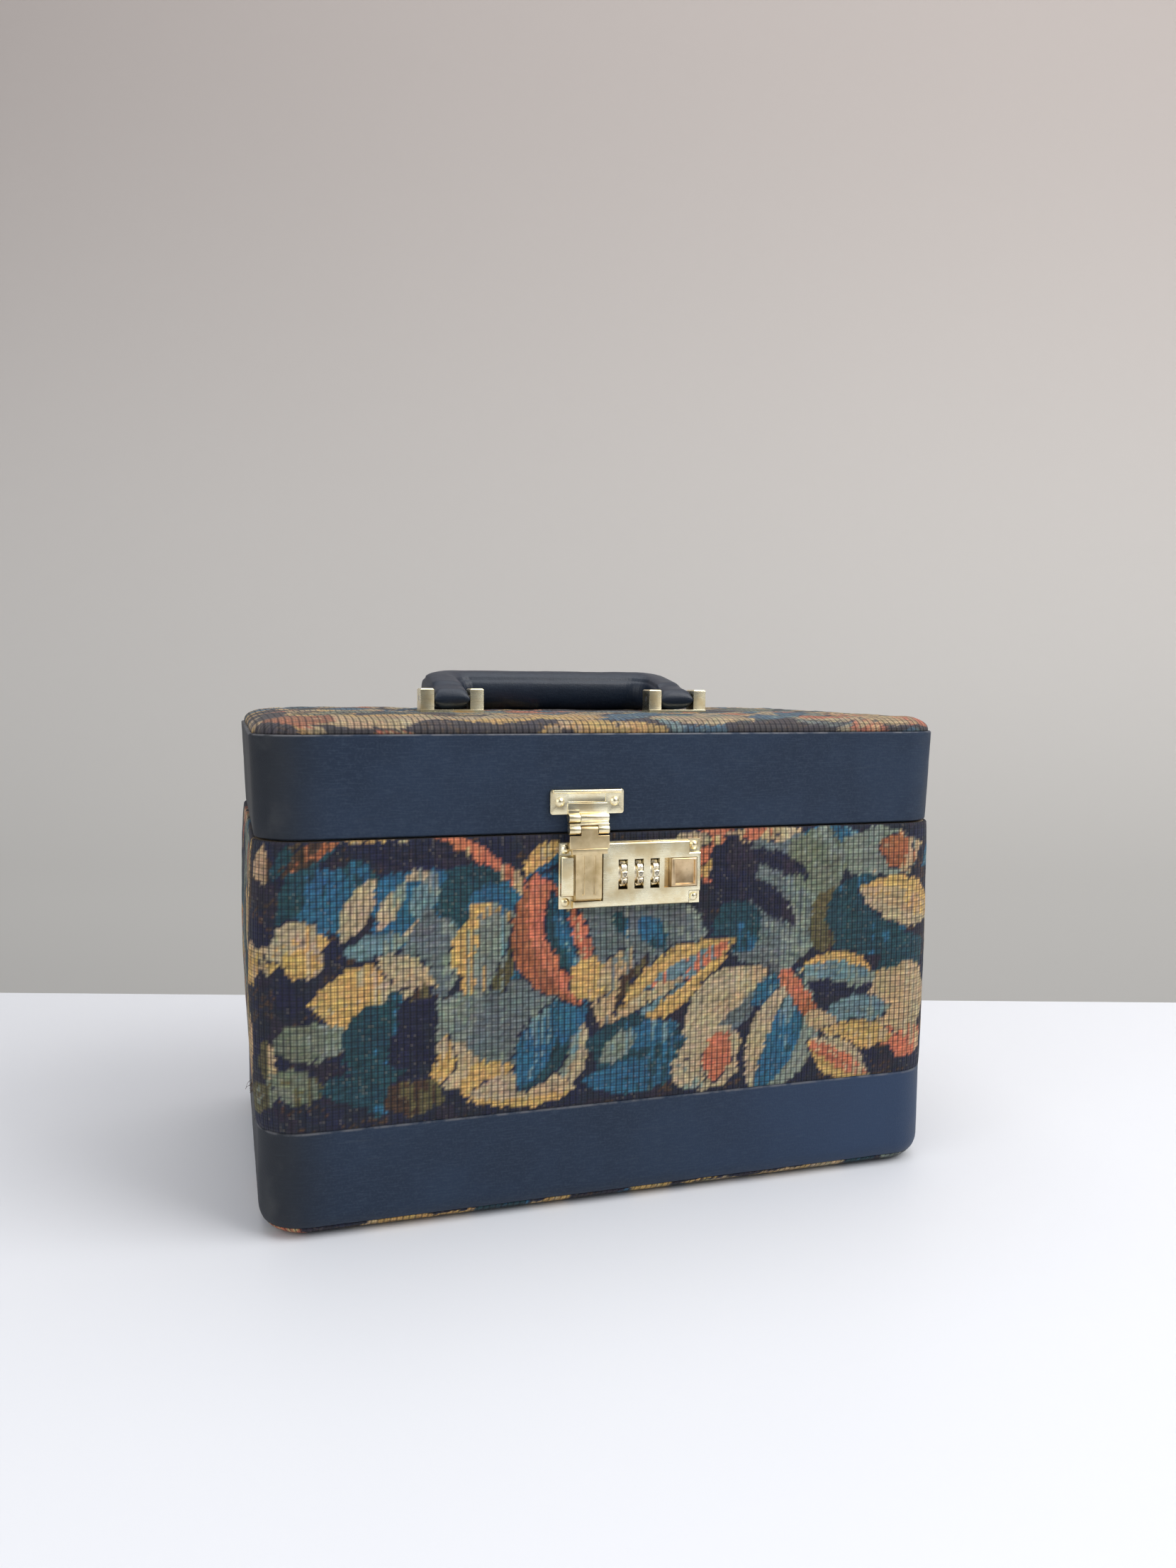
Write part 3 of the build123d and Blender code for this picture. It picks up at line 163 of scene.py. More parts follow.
# kind, x, z, length, width, angle, bend, body, tip, upper edge, lower edge, where body turns to
# tip; the last three may be left out. A stem is the x and z of three points, its width and its
# two colours. Motifs are painted in this order.
MOTIFS = [
    ("lobe", -164, 163, 11, 14, 0, 0, "sand", "brown"),
    ("lobe", -162, 123, 12, 11, 10, 0, "sand", "ochre"),
    ("leaf", -150, 166, 24, 11, 40, 0, "teal", "brown"),
    ("leaf", -142, 165, 29, 10, 34, 0.2, "brown", "rust", None, "teal"),
    ("lobe", -142, 147, 29, 30, 18, 0, "teal", "blue"),
    ("lobe", -129, 149, 37, 28, 28, 0, "blue", "teal"),
    ("lobe", -94, 144, 48, 39, 7, 0, "blue", "sky"),
    ("lobe", -69, 146, 41, 31, -22, 0, "teal", "blue"),
    ("lobe", -62, 134, 29, 40, -3, 0, "blue", "blue"),
    ("stroke", -123, 144, 32, 11, 62, 0, "beige", "beige"),
    ("stroke", -108, 145, 24, 8, 59, 0.1, "beige", "mist"),
    ("stroke", -97, 158, 14, 5, 10, 0, "beige", "mist"),
    ("stroke", -93, 148, 24, 10, 70, 0.1, "sky", "mist"),
    ("stroke", -96, 134, 16, 8, 9, 0, "beige", "sand"),
    ("stroke", -115, 128, 30, 10, 12, 0, "sky", "mist"),
    ("lobe", -91, 122, 24, 40, -4, 0, "grey", "mist"),
    ("leaf", -148, 128, 28, 17, 12, 0.2, "beige", "ochre"),
    ("lobe", -146, 122, 17, 13, -4, 0, "ochre", "beige"),
    ("leaf", -120, 111, 50, 31, 15, -0.25, "ochre", "beige", None, None, 0.35),
    ("leaf", -102, 116, 31, 12, -29, 0, "beige", "sand"),
    ("lobe", -67, 124, 30, 41, -14, 0, "ochre", "mist", None, None, 0.08),
    ("lobe", -63, 127, 15, 28, -10, 0, "mist", "sky"),
    ("leaf", -52, 124, 44, 13, 74, -0.25, "blue", "teal", "night"),
    ("leaf", -60, 113, 26, 7, 68, -0.2, "olive", "mist"),
    ("stem", -87, 176, -64, 165, -48, 148, 5.6, "coral", "sand"),
    ("leaf", -114, 173, 30, 5, -2, 0, "ochre", "beige"),
    ("leaf", -100, 167, 51, 11, -10, 0, "night", "plum"),
    ("leaf", -39, 162, 25, 11, 28, 0.2, "ochre", "beige", None, "blue"),
    ("stroke", -38, 153, 20, 7, 7, 0, "blue", "sky"),
    ("lobe", -62, 85, 51, 41, -5, 0, "grey", "mist"),
    ("lobe", -82, 93, 24, 24, -5, 0, "mist", "grey"),
    ("lobe", -44, 92, 34, 40, -4, 0, "grey", "mist"),
    ("leaf", -35, 72, 46, 20, 62, -0.2, "mist", "sky", None, "beige"),
    ("leaf", -97, 95, 31, 14, 80, 0, "brown", "olive"),
    ("lobe", -82, 72, 23, 21, -5, 0, "beige", "sand"),
    ("leaf", -87, 75, 23, 11, 80, 0, "ochre", "beige"),
    ("lobe", -66, 63, 25, 19, 5, 0, "ochre", "beige"),
    ("leaf", -50, 57, 51, 16, -1, 0.1, "beige", "sand", None, "ochre"),
    ("leaf", -43, 78, 44, 22, 66, -0.1, "blue", "sky", None, "teal"),
    ("lobe", -143, 88, 32, 17, 0, 0, "sage", "mist"),
    ("leaf", -150, 69, 30, 14, -16, 0, "sage", "olive"),
    ("lobe", -162, 80, 9, 17, -5, 0, "olive", "sand"),
    ("lobe", -114, 80, 34, 52, -15, 0, "teal", "blue", None, None, 0.6),
    ("lobe", -99, 84, 20, 54, -8, 0, "night", "ground"),
    ("lobe", -99, 60, 26, 16, 0, 0, "brown", "olive", None, None, 0.3),
    ("stroke", -122, 69, 37, 16, 10, 0, "teal", "teal"),
    ("leaf", -137, 76, 23, 6, -10, 0, "plum", "night"),
    ("lobe", 41, 164, 23, 29, 7, 0, "coral", "sand"),
    ("leaf", 41, 155, 20, 7, 7, 0, "ochre", "sand"),
    ("leaf", 31, 169, 20, 8, -2, 0, "beige", "sand"),
    ("leaf", 74, 168, 55, 14, -6, 0, "sand", "beige", None, "ochre"),
    ("lobe", 64, 171, 16, 7, -2, 0, "coral", "sand"),
    ("leaf", 104, 169, 35, 10, -6, 0, "blue", "sky"),
    ("lobe", 130, 160, 46, 24, -2, 0, "mist", "sand"),
    ("leaf", 140, 160, 24, 15, -28, 0, "rust", "sand"),
    ("lobe", -6, 125, 51, 38, -3, 0, "grey", "mist"),
    ("lobe", 18, 126, 37, 39, -3, 0, "grey", "mist"),
    ("stroke", -4, 132, 13, 7, -59, 0, "teal", "blue"),
    ("stroke", 11, 126, 21, 11, -50, 0.1, "blue", "teal"),
    ("leaf", -6, 102, 38, 20, 69, 0.1, "sand", "grey"),
    ("leaf", 1, 104, 30, 8, 58, 0, "brown", "olive"),
    ("lobe", 75, 137, 56, 67, -16, 0, "grey", "mist"),
    ("lobe", 96, 157, 31, 33, 26, 0, "sage", "mist"),
    ("lobe", 51, 150, 22, 40, 7, 0, "night", "plum"),
    ("stroke", 54, 127, 28, 25, -58, 0, "teal", "blue"),
    ("leaf", 70, 140, 39, 11, -41, 0, "night", "plum"),
    ("leaf", 75, 156, 35, 8, -20, 0.2, "night", "plum"),
    ("leaf", 56, 158, 25, 14, -68, 0, "plum", "night"),
    ("lobe", 101, 127, 18, 32, -3, 0, "olive", "brown"),
    ("lobe", 124, 128, 46, 41, -3, 0, "teal", "blue"),
    ("stroke", 144, 108, 32, 22, 25, 0, "teal", "teal"),
    ("stroke", 114, 138, 27, 15, 58, 0, "teal", "blue"),
    ("leaf", 143, 134, 52, 22, -17, 0.1, "sand", "ochre", "ochre", "beige"),
    ("leaf", 108, 101, 46, 18, -7, 0.1, "sky", "mist", "ochre", "mist"),
    ("leaf", 104, 94, 33, 7, -13, 0, "night", "night"),
    ("lobe", 144, 86, 37, 38, -4, 0, "sand", "beige"),
    ("leaf", 119, 82, 37, 15, 0, 0, "sky", "mist"),
    ("leaf", 22, 101, 74, 24, 33, 0.12, "sky", "coral", "ochre", "ochre", 0.45),
    ("leaf", 10, 96, 40, 6, 26, 0.2, "sand", "beige"),
    ("leaf", 49, 89, 56, 27, 38, 0.1, "beige", "sand", None, "grey"),
    ("stroke", 71, 95, 23, 12, 36, 0, "blue", "sky"),
    ("lobe", 41, 66, 31, 34, -5, 0, "beige", "sand"),
    ("lobe", 45, 66, 14, 23, -10, 0, "coral", "rust"),
    ("leaf", 76, 73, 66, 34, 68, -0.1, "blue", "teal", "beige", "mist"),
    ("stroke", 78, 76, 50, 9, 70, -0.1, "blue", "sky"),
    ("stem", 80, 102, 88, 91, 96, 80, 8.1, "coral", "rust"),
    ("stem", 96, 80, 111, 68, 136, 68, 9.6, "sand", "coral"),
    ("leaf", 120, 70, 42, 13, -8, 0, "ochre", "sand"),
    ("leaf", 110, 58, 41, 17, -31, 0, "coral", "sand", "beige", "ochre"),
    ("lobe", 149, 64, 21, 15, 14, 0, "coral", "sand"),
    ("lobe", 4, 73, 47, 31, -5, 0, "teal", "blue"),
    ("stroke", 10, 79, 32, 12, 10, 0, "blue", "sky"),
    ("stroke", -5, 74, 23, 10, 36, 0, "mist", "sky"),
    ("stroke", 3, 60, 51, 15, 2, 0, "blue", "teal"),
    ("stroke", -28, 92, 30, 14, 75, 0, "blue", "teal"),
    ("leaf", 30, 58, 22, 13, -41, 0, "beige", "mist"),
    ("leaf", -34, 126, 66, 34, -70, -0.1, "coral", "coral", None, "rust"),
    ("leaf", -30, 127, 44, 15, -72, 0, "blue", "sky", None, "teal"),
    ("leaf", -25, 126, 40, 5, -74, 0.3, "coral", "sand"),
    ("lobe", -19, 107, 19, 20, -4, 0, "ochre", "sand"),
]


def verdure(u, v, motifs, repeat, seed):
    """Colour of each thread at (u, v) in mm, from motifs painted one over the other.

    A leaf is a lens: its half width falls as 1 - p^2 from the middle to the tips, and its
    middle line bends as a parabola. A lobe is an ellipse with a wavy rim. A stem is the strip near
    a quadratic curve. Thread columns shift the outlines up and down a little, as in weaving, and
    body turns to tip colour through interlocking columns. Strokes along each leaf are a sine of q.
    """
    rng = np.random.default_rng(seed)
    pitch = THREAD * 1000
    column, row = np.round(u / pitch).astype(int), np.round(v / pitch).astype(int)
    column_step = rng.normal(0, 1, 4096).clip(-1.8, 1.8)[column % 4096]
    row_step = rng.normal(0, 1, 4096).clip(-1.8, 1.8)[row % 4096]
    speck = rng.uniform(-1, 1, u.shape)
    place = np.stack([u, v], -1)
    u = u + 0.35 * row_step + 0.7 * waves(place, seed + 1, 9.0)
    v = v + 0.42 * column_step + 0.9 * waves(place, seed + 2, 12.0)
    wander = waves(place, seed + 3, 26.0)
    mottle = waves(place, seed + 5, 12.0, 2)
    colour = np.empty(u.shape + (3,))
    colour[:] = THREADS["ground"]
    colour[wander > 0.22] = THREADS["night"]
    colour[(wander < -0.25)] = THREADS["plum"]
    dotted = (waves(place, seed + 4, 34.0) > 0.28) & (speck > 0.5)
    colour[dotted] = THREADS["brown"]

    stroke = np.ones(u.shape)

    def lay(mask, name):
        colour[mask] = THREADS[name]

    for motif in motifs:
        kind = motif[0]
        if kind == "stem":
            x0, z0, x1, z1, x2, z2, width, first, second = motif[1:]
            t = np.linspace(0, 1, 24)
            cx = (1 - t) ** 2 * x0 + 2 * t * (1 - t) * x1 + t * t * x2
            cz = (1 - t) ** 2 * z0 + 2 * t * (1 - t) * z1 + t * t * z2
            near = np.flatnonzero((v > cz.min() - width) & (v < cz.max() + width))
            du = (u[near, None] - cx[None] + repeat / 2) % repeat - repeat / 2
            gap = np.hypot(du, v[near, None] - cz[None])
            k = gap.argmin(1)
            inside = gap.min(1) < width / 2
            early = t[k] + 0.25 * column_step[near] < 0.62
            lay(near[inside & early], first)
            lay(near[inside & ~early], second)
            continue
        x, z, length, width, angle, bend, body, tip = motif[1:9]
        upper, lower, split = (*motif[9:], *(None, None, 0.5)[len(motif) - 9:])
        ca, sa = cos(radians(angle)), sin(radians(angle))
        du = (u - x + repeat / 2) % repeat - repeat / 2
        dv = v - z
        near = np.flatnonzero((np.abs(du) < length) & (np.abs(dv) < length))
        du, dv = du[near], dv[near]
        p = (du * ca + dv * sa) / (length / 2)
        q = (-du * sa + dv * ca) - bend * width * (1 - p * p)
        if kind != "lobe":
            half = 0.54 * width * np.clip(1 - p * p, 0, None)
            inside = (np.abs(q) < half) & (np.abs(p) < 1)
            rim = q / np.maximum(half, 1e-6)
        else:
            spin = np.arctan2(q / width, p / 2)
            reach = 1 + 0.07 * np.cos(5 * spin + x) + 0.04 * np.cos(9 * spin + z)
            rim = q / (width / 2)
            inside = np.hypot(p, rim) < reach
        blend = p * 0.5 + 0.5 + 0.18 * column_step[near] + 0.30 * mottle[near]
        tipped = blend > split + 0.28
        lay(near[inside], body)
        stroke[near[inside]] = 1 + 0.24 * np.sin(q / 0.62 + 2.2 * np.sin(2.6 * p + x))[inside]
        lay(near[inside & tipped], tip)
        vein = inside & (np.abs(q + 0.06 * width * np.sin(6 * p)) < 0.55) & (speck[near] > 0.1)
        lay(near[vein & (p < 0.7) & (kind == "leaf")], tip)
        if upper:
            lay(near[inside & (rim > 0.45)], upper)
        if lower:
            lay(near[inside & (rim < -0.45)], lower)
        # A broken dark outline round the leaves and the pale lobes
        if kind == "leaf":
            shade = (np.abs(q) > half) & (np.abs(q) < half + 1.3) & (np.abs(p) < 1.02)
            strong = 0.3 - 0.055 * min(width, 16)
            lay(near[shade & (speck[near] > np.where(q < 0, strong, strong + 0.5))], "night")
        elif kind == "lobe" and body in ("beige", "sand", "ochre", "coral"):
            far = np.hypot(p, rim)
            shade = (far > reach) & (far < reach + 2.6 / width) & (q < 0)
            lay(near[shade & (speck[near] > 0.1)], "night")
    tone = stroke + 0.12 * speck + 0.07 * column_step + 0.07 * row_step + 0.10 * wander
    tone = tone + 0.12 * mottle
    grain = rng.normal(0, 0.04, colour.shape)
    for channel in range(3):
        grain[..., channel] += 0.07 * waves(place, seed + 6 + channel, 24.0, 2)
    return np.clip(colour * tone[..., None] * (1 + grain) + 0.002, 0.002, 0.9)


def moved(motifs, dx, dz):
    """The same motifs one repeat of the cloth further on."""
    out = []
    for m in motifs:
        step = (dx, dz) * (3 if m[0] == "stem" else 1)
        out.append((m[0], *(a + b for a, b in zip(m[1:], step)), *m[1 + len(step):]))
    return out


def scattered(seed, count, low, high, repeat):
    """Leaves and lobes at random places between two heights, kept apart by their sizes."""
    rng = np.random.default_rng(seed)
    pairs = [("ochre", "sand", None), ("beige", "sand", "ochre"), ("blue", "sky", None),
             ("grey", "mist", None), ("teal", "blue", None), ("coral", "sand", "beige"),
             ("sage", "mist", None), ("sand", "coral", "ochre"), ("sky", "mist", None)]
    made, spots = [], []
    for _ in range(count * 30):
        if len(made) == count:
            break
        x, z = rng.uniform(-repeat / 2, repeat / 2), rng.uniform(low, high)
        length, width = rng.uniform(26, 52), rng.uniform(0.32, 0.75)
        far = all(np.hypot((x - a + repeat / 2) % repeat - repeat / 2, z - b) > 0.33 * (length + c)
                  for a, b, c in spots)
        if not far:
            continue
        spots.append((x, z, length))
        body, tip, edge = pairs[rng.integers(len(pairs))]
        kind = "lobe" if width > 0.6 else "leaf"
        made.append((kind, x, z, length, length * width, rng.uniform(0, 180),
                     rng.uniform(-0.15, 0.15), body, tip, edge, None, 0.5))
    return made


# Shader maths

class Socket:
    """A shader value: arithmetic on it adds Math nodes to its material."""

    def __init__(self, material, socket):
        self.material = material
        self.socket = socket

    def math(self, operation, *values):
        return self.material.node("ShaderNodeMath", {"operation": operation},
                                  dict(enumerate(values)))

    def __add__(self, other):
        return self.math("ADD", self, other)

    def __mul__(self, other):
        return self.math("MULTIPLY", self, other)

    def __sub__(self, other):
        return self.math("SUBTRACT", self, other)

    def __rsub__(self, other):
        return self.math("SUBTRACT", other, self)

    def __abs__(self):
        return self.math("ABSOLUTE", self)

    def sine(self):
        return self.math("SINE", self)

    __radd__ = __add__
    __rmul__ = __mul__

    def clipped(self, low, high):
        """0 below low, 1 above high, smooth between."""
        return self.material.node("ShaderNodeMapRange", {"interpolation_type": "SMOOTHSTEP"},
                                  {"Value": self, "From Min": low, "From Max": high})


class Finish:
    """A material, or a world, of one shader, with its other nodes added through node()."""

    def __init__(self, name, kind="materials", shader="Principled BSDF", **plain):
        self.data = getattr(bpy.data, kind).new(name)
        self.data.use_nodes = True
        self.shader = self.data.node_tree.nodes[shader]
        for key, value in plain.items():
            self.shader.inputs[key.replace("_", " ")].default_value = value

    def node(self, kind, settings=None, inputs=None, out=0):
        made = self.data.node_tree.nodes.new(kind)
        for key, value in (settings or {}).items():
            if key == "stops":
                ramp_data = made.color_ramp
                while len(ramp_data.elements) < len(value):
                    ramp_data.elements.new(0.5)
                for element, (at, colour) in zip(ramp_data.elements, value):
                    element.position = at
                    element.color = (*colour, 1)
            else:
                setattr(made, key, value)
        for key, value in (inputs or {}).items():
            if isinstance(value, Socket):
                self.data.node_tree.links.new(value.socket, made.inputs[key])
            else:
                made.inputs[key].default_value = value
        return Socket(self, made.outputs[out])

    def feed(self, name, value):
        """Links a value to an input of the shader."""
        self.data.node_tree.links.new(value.socket, self.shader.inputs[name])

    def place(self):
        return self.node("ShaderNodeTexCoord", out=3)

    def noise(self, where, scale, detail=3.0, rough=0.55, out=0):
        return self.node("ShaderNodeTexNoise", {}, {"Vector": where, "Scale": scale,
                                                    "Detail": detail, "Roughness": rough}, out)

    def parts(self, vector):
        """The x, y and z of a vector."""
        x = self.node("ShaderNodeSeparateXYZ", {}, {"Vector": vector})
        return [Socket(self, out) for out in x.socket.node.outputs]

    def stretched(self, where, scale):
        return self.node("ShaderNodeMapping", {}, {"Vector": where, "Scale": scale})

    def mix(self, factor, first, second, blend="MIX"):
        first, second = (c if isinstance(c, Socket) else (*c, 1) for c in (first, second))
        return self.node("ShaderNodeMix", {"data_type": "RGBA", "blend_type": blend},
                         {0: factor, 6: first, 7: second}, out=2)

    def bump(self, height, strength, distance):
        self.feed("Normal", self.node("ShaderNodeBump", {}, {
            "Height": height, "Strength": strength, "Distance": distance}))


def vinyl(name, tone, rough, gloss):
    """Navy book-cloth vinyl: fine pebble and weave grain, rubbed paler at corners, a painted
    highlight on its edges.

    Painted shade darkens the left end, and painted light makes the foot band bluer to the right.
    """
    m = Finish(name, Roughness=rough, Specular_IOR_Level=gloss)
    at = m.place()
    cloud = m.noise(at, 28.0, 4.0)
    fine = m.noise(at, 900.0, 3.0)
    cells = m.node("ShaderNodeTexVoronoi", {"feature": "F1"}, {"Vector": at, "Scale": 1400.0})
    rows = m.noise(m.stretched(at, (160.0, 160.0, 1500.0)), 1.0, 2.0)
    base = m.mix(cloud.clipped(0.35, 0.7), (0.0078, 0.0185, 0.041), (0.0115, 0.0255, 0.054))
    base = m.mix(fine.clipped(0.45, 0.72) * 0.5, base, (0.024, 0.040, 0.068))
    base = m.mix(rows.clipped(0.48, 0.7) * 0.35, base, (0.030, 0.050, 0.082))
    x, y, z = m.parts(at)
    corner = (abs(x) - 0.145).clipped(0.0, 0.02)
    corner = corner * (abs(y) - 0.080).clipped(0.0, 0.02)
    rub = corner * m.noise(at, 60.0, 5.0).clipped(0.42, 0.72)
    # Painted highlight: a pale, broken line along the top edge of the lower band and of the lid
    # band
    lower = 1 - abs(z - 0.0479).clipped(0.0003, 0.0011)
    upper = 1 - abs(z - 0.2186).clipped(0.0002, 0.0007)
    edge = (lower + upper) * m.noise(at, 130.0, 4.0).clipped(0.36, 0.6)
    # Painted shade: the left end darkened, where it lies in shade
    shade = (0 - x - 0.128).clipped(0.0, 0.032)
    base = m.mix(shade * 0.85, base, (0.007, 0.009, 0.012))
    # Painted light: the foot band bluer and lighter towards the right, where the light falls
    bright = x.clipped(0.0, 0.15) * (0.1 - z).clipped(0.0, 0.02)
    base = m.mix(bright * 0.62, base, (0.021, 0.046, 0.104))
    base = m.mix(rub * 0.5, base, (0.085, 0.088, 0.090))
    # Painted highlight laid along the band edges
    base = m.mix(edge * 0.6, base, (0.15, 0.15, 0.16))
    scuff = m.noise(m.stretched(at, (35.0, 35.0, 420.0)), 1.0, 5.0).clipped(0.64, 0.8)
    base = m.mix(scuff * 0.3, base, (0.05, 0.062, 0.080))
    m.feed("Base Color", m.mix(1.0, base, (tone, tone, tone), "MULTIPLY"))
    m.feed("Roughness", rough + cloud * 0.2 + rub * 0.2)
    m.bump(cells * 0.7 + fine * 0.6 + rows * 0.5, 0.55, 0.00012)
    return m.data


def tapestry():
    """Woven cloth: thread colours from the weft attribute, ribs and crossings from the thread UV.

    Height is a rounded rib over each warp thread plus a weaker one over each weft row. Painted
    shade darkens the cloth in the gaps, more in every second one, and picks of brighter weft run
    along the rows.
    """
    m = Finish("tapestry", Roughness=0.9, Sheen_Weight=0.05, Specular_IOR_Level=0.2)
    weft = m.node("ShaderNodeAttribute", {"attribute_name": "weft"})
    uv = m.node("ShaderNodeUVMap", {"uv_map": "threads"})
    u, v, _ = m.parts(uv)
    warp, rows = abs((u * pi).sine()), abs((v * pi).sine())
    paired, coupled = abs((u * (pi / 2)).sine()), abs((v * (pi / 2)).sine())
    column = m.node("ShaderNodeTexWhiteNoise", {"noise_dimensions": "1D"},
                    {"W": u.math("FLOOR", u)})
    cell_at = m.node("ShaderNodeVectorMath", {"operation": "FLOOR"}, {0: uv})
    cell = m.node("ShaderNodeTexWhiteNoise", {"noise_dimensions": "2D"}, {"Vector": cell_at})
    # Painted shade in the gaps between threads and, below, in the grooves at every second thread
    # and row
    gap = warp.clipped(0.0, 0.5) * rows.clipped(0.0, 0.45)
    patch = m.noise(m.place(), 55.0, 3.0).clipped(0.34, 0.62) * 0.55 + 0.45
    ditch = (1 - paired.clipped(0.10, 0.62)) * 0.58 * patch
    step = (1 - coupled.clipped(0.08, 0.5)) * 0.44 * patch
    pick = m.noise(m.stretched(uv, (0.22, 0.9, 1.0)), 1.0, 2.0)
    deep = (0.014, 0.014, 0.018)
    base = m.mix((1 - gap) * 0.45, weft, (0.010, 0.010, 0.014))
    base = m.mix(paired.clipped(0.5, 1.0) * 0.5, base, (1.5, 1.46, 1.36), "MULTIPLY")
    base = m.mix(pick.clipped(0.42, 0.66) * 0.45, base, (1.55, 1.45, 1.25), "MULTIPLY")
    # Painted shade laid into the grooves
    base = m.mix(ditch, base, deep)
    base = m.mix(step, base, deep)
    pale = cell.clipped(0.93, 0.97) * gap * 0.10
    base = m.mix(pale, base, (0.40, 0.34, 0.24))
    base = m.mix(column * 0.14, base, (0.03, 0.03, 0.04))
    m.feed("Base Color", base)
    fuzz = m.noise(m.place(), 2600.0, 2.0)
    m.bump(warp * 0.5 + rows * 0.4 + paired * 0.6 + coupled * 0.3 + fuzz * 0.3 + cell * 0.2, 0.7,
           0.0004)
    return m.data


def plated(name, low, high, rough):
    """Bright plated metal with hairlines, faint tarnish clouds and dull specks."""
    m = Finish(name, Metallic=1.0)
    at = m.place()
    cloud = m.noise(at, 90.0, 4.0)
    hair = m.noise(m.stretched(at, (120.0, 900.0, 3200.0)), 1.0, 3.0)
    speck = m.noise(at, 1500.0, 2.0).clipped(0.66, 0.78)
    base = m.mix(cloud.clipped(0.3, 0.75), high, low)
    base = m.mix(speck * 0.45, base, tuple(c * 0.35 for c in low))
    m.feed("Base Color", base)
    m.feed("Roughness", rough + cloud * 0.12 + hair * 0.1 + speck * 0.2)
    m.bump(hair + m.noise(at, 220.0, 3.0) * 2.0, 0.12, 0.00012)
    return m.data


def lining_cloth():
    """Plain woven lining: two crossed thread waves, slubs and soft shading."""
    m = Finish("lining cloth", Roughness=0.85)
    at = m.place()
    slub = m.noise(m.stretched(at, (60.0, 60.0, 900.0)), 1.0, 3.0)
    across = m.node("ShaderNodeTexWave", {"bands_direction": "X"}, {"Vector": at, "Scale": 420.0})
    up = m.node("ShaderNodeTexWave", {"bands_direction": "Z"}, {"Vector": at, "Scale": 420.0})
    deep = m.node("ShaderNodeTexWave", {"bands_direction": "Y"}, {"Vector": at, "Scale": 420.0})
    cloud = m.noise(at, 14.0, 4.0)
    base = m.mix(cloud.clipped(0.3, 0.7), (0.165, 0.195, 0.235), (0.20, 0.235, 0.28))
    base = m.mix(slub.clipped(0.55, 0.75) * 0.4, base, (0.27, 0.30, 0.34))
    m.feed("Base Color", base)
    m.bump(across * 0.4 + up * 0.4 + deep * 0.4 + slub * 0.5, 0.4, 0.0002)
    return m.data


def fibre_board():
    """Grey-brown pressed board with mottled fibres."""
    m = Finish("fibre board", Roughness=0.9)
    at = m.place()
    fibre = m.noise(m.stretched(at, (90.0, 90.0, 700.0)), 1.0, 6.0)
    base = m.mix(fibre.clipped(0.35, 0.7), (0.20, 0.15, 0.10), (0.33, 0.26, 0.18))
    m.feed("Base Color", base)
    m.bump(fibre + m.noise(at, 1200.0, 3.0), 0.4, 0.0002)
    return m.data


def mirror_glass():
    """Silvered glass with a faint haze and small specks near its rim."""
    m = Finish("mirror glass", Metallic=1.0)
    at = m.place()
    haze = m.noise(at, 40.0, 4.0)
    speck = m.noise(at, 700.0, 2.0).clipped(0.7, 0.78)
    m.feed("Base Color", m.mix(speck * 0.3, (0.86, 0.88, 0.89), (0.3, 0.3, 0.3)))
    m.feed("Roughness", 0.02 + haze * 0.05)
    return m.data


def ink():
    """Dull dark paint, slightly worn."""
    m = Finish("wheel ink", Roughness=0.6)
    worn = m.noise(m.place(), 3000.0, 3.0)
    m.feed("Base Color", m.mix(worn.clipped(0.5, 0.8), (0.012, 0.012, 0.012), (0.10, 0.09, 0.07)))
    return m.data


def thread():
    """Loose cotton thread, two-ply twist along its length."""
    m = Finish("loose thread", Roughness=0.9)
    at = m.place()
    twist = m.noise(at, 2400.0, 3.0)
    m.feed("Base Color", m.mix(twist, (0.14, 0.10, 0.06), (0.04, 0.035, 0.045)))
    m.bump(twist, 0.6, 0.0002)
    return m.data


NAVY, GRIP = vinyl("navy vinyl", 1.0, 0.44, 0.32), vinyl("handle vinyl", 0.55, 0.32, 0.42)
CLOTH, LINING, BOARD = tapestry(), lining_cloth(), fibre_board()
GOLD = plated("pale brass", (0.76, 0.61, 0.34), (0.99, 0.92, 0.67), 0.17)
BROWNED = plated("brushed brass", (0.50, 0.36, 0.17), (0.84, 0.68, 0.41), 0.24)
DISHED = plated("worn brass", (0.40, 0.26, 0.13), (0.80, 0.61, 0.37), 0.22)
STEEL = plated("plated steel", (0.42, 0.41, 0.40), (0.66, 0.66, 0.65), 0.28)
WHEEL = plated("wheel brass", (0.62, 0.50, 0.32), (0.88, 0.80, 0.62), 0.24)
MIRROR, INK, LOOSE = mirror_glass(), ink(), thread()
SLOTS = {"navy_vinyl": NAVY, "tapestry": CLOTH, "lining_cloth": LINING, "fibre_board": BOARD,
         "brass_plate": GOLD, "plated_steel": STEEL, "wheel_brass": WHEEL, "mirror_glass": MIRROR}
for part in frame["record"]["subparts"]:
    node = frame["nodes"][part["node"]]
    node.data.materials.clear()
    node.data.materials.append(SLOTS[part["material_slot"]])


def dressed(piece, material):
    """Gives a piece its finish."""
    piece.data.materials.append(material)
    return piece


# Tapestry round the body
def wall_patch(points, centre_x, half_x, foot_z, fall):
    """1 on a patch of the wall, above foot_z and within half_x of centre_x, 0 past the fall."""
    dx = np.maximum(np.abs(points[..., 0] - centre_x) - half_x, 0)
    dz = np.maximum(foot_z - points[..., 2], 0)
    return 1 - ramp(np.hypot(dx, dz), 0, fall)


def lock_side(points):
    """1 on the patch of the front wall round the lock plate."""
    return wall_patch(points, 0, 0.036, 0.138, 0.02) * (points[..., 1] < -0.09)


def hinge_side(points):
    """1 on the patches of the back wall under the hinge leaves."""
    right, left = (wall_patch(points, x, 0.021, 0.153, 0.015) for x in (0.095, -0.095))
    return (right + left) * (points[..., 1] > 0.09)


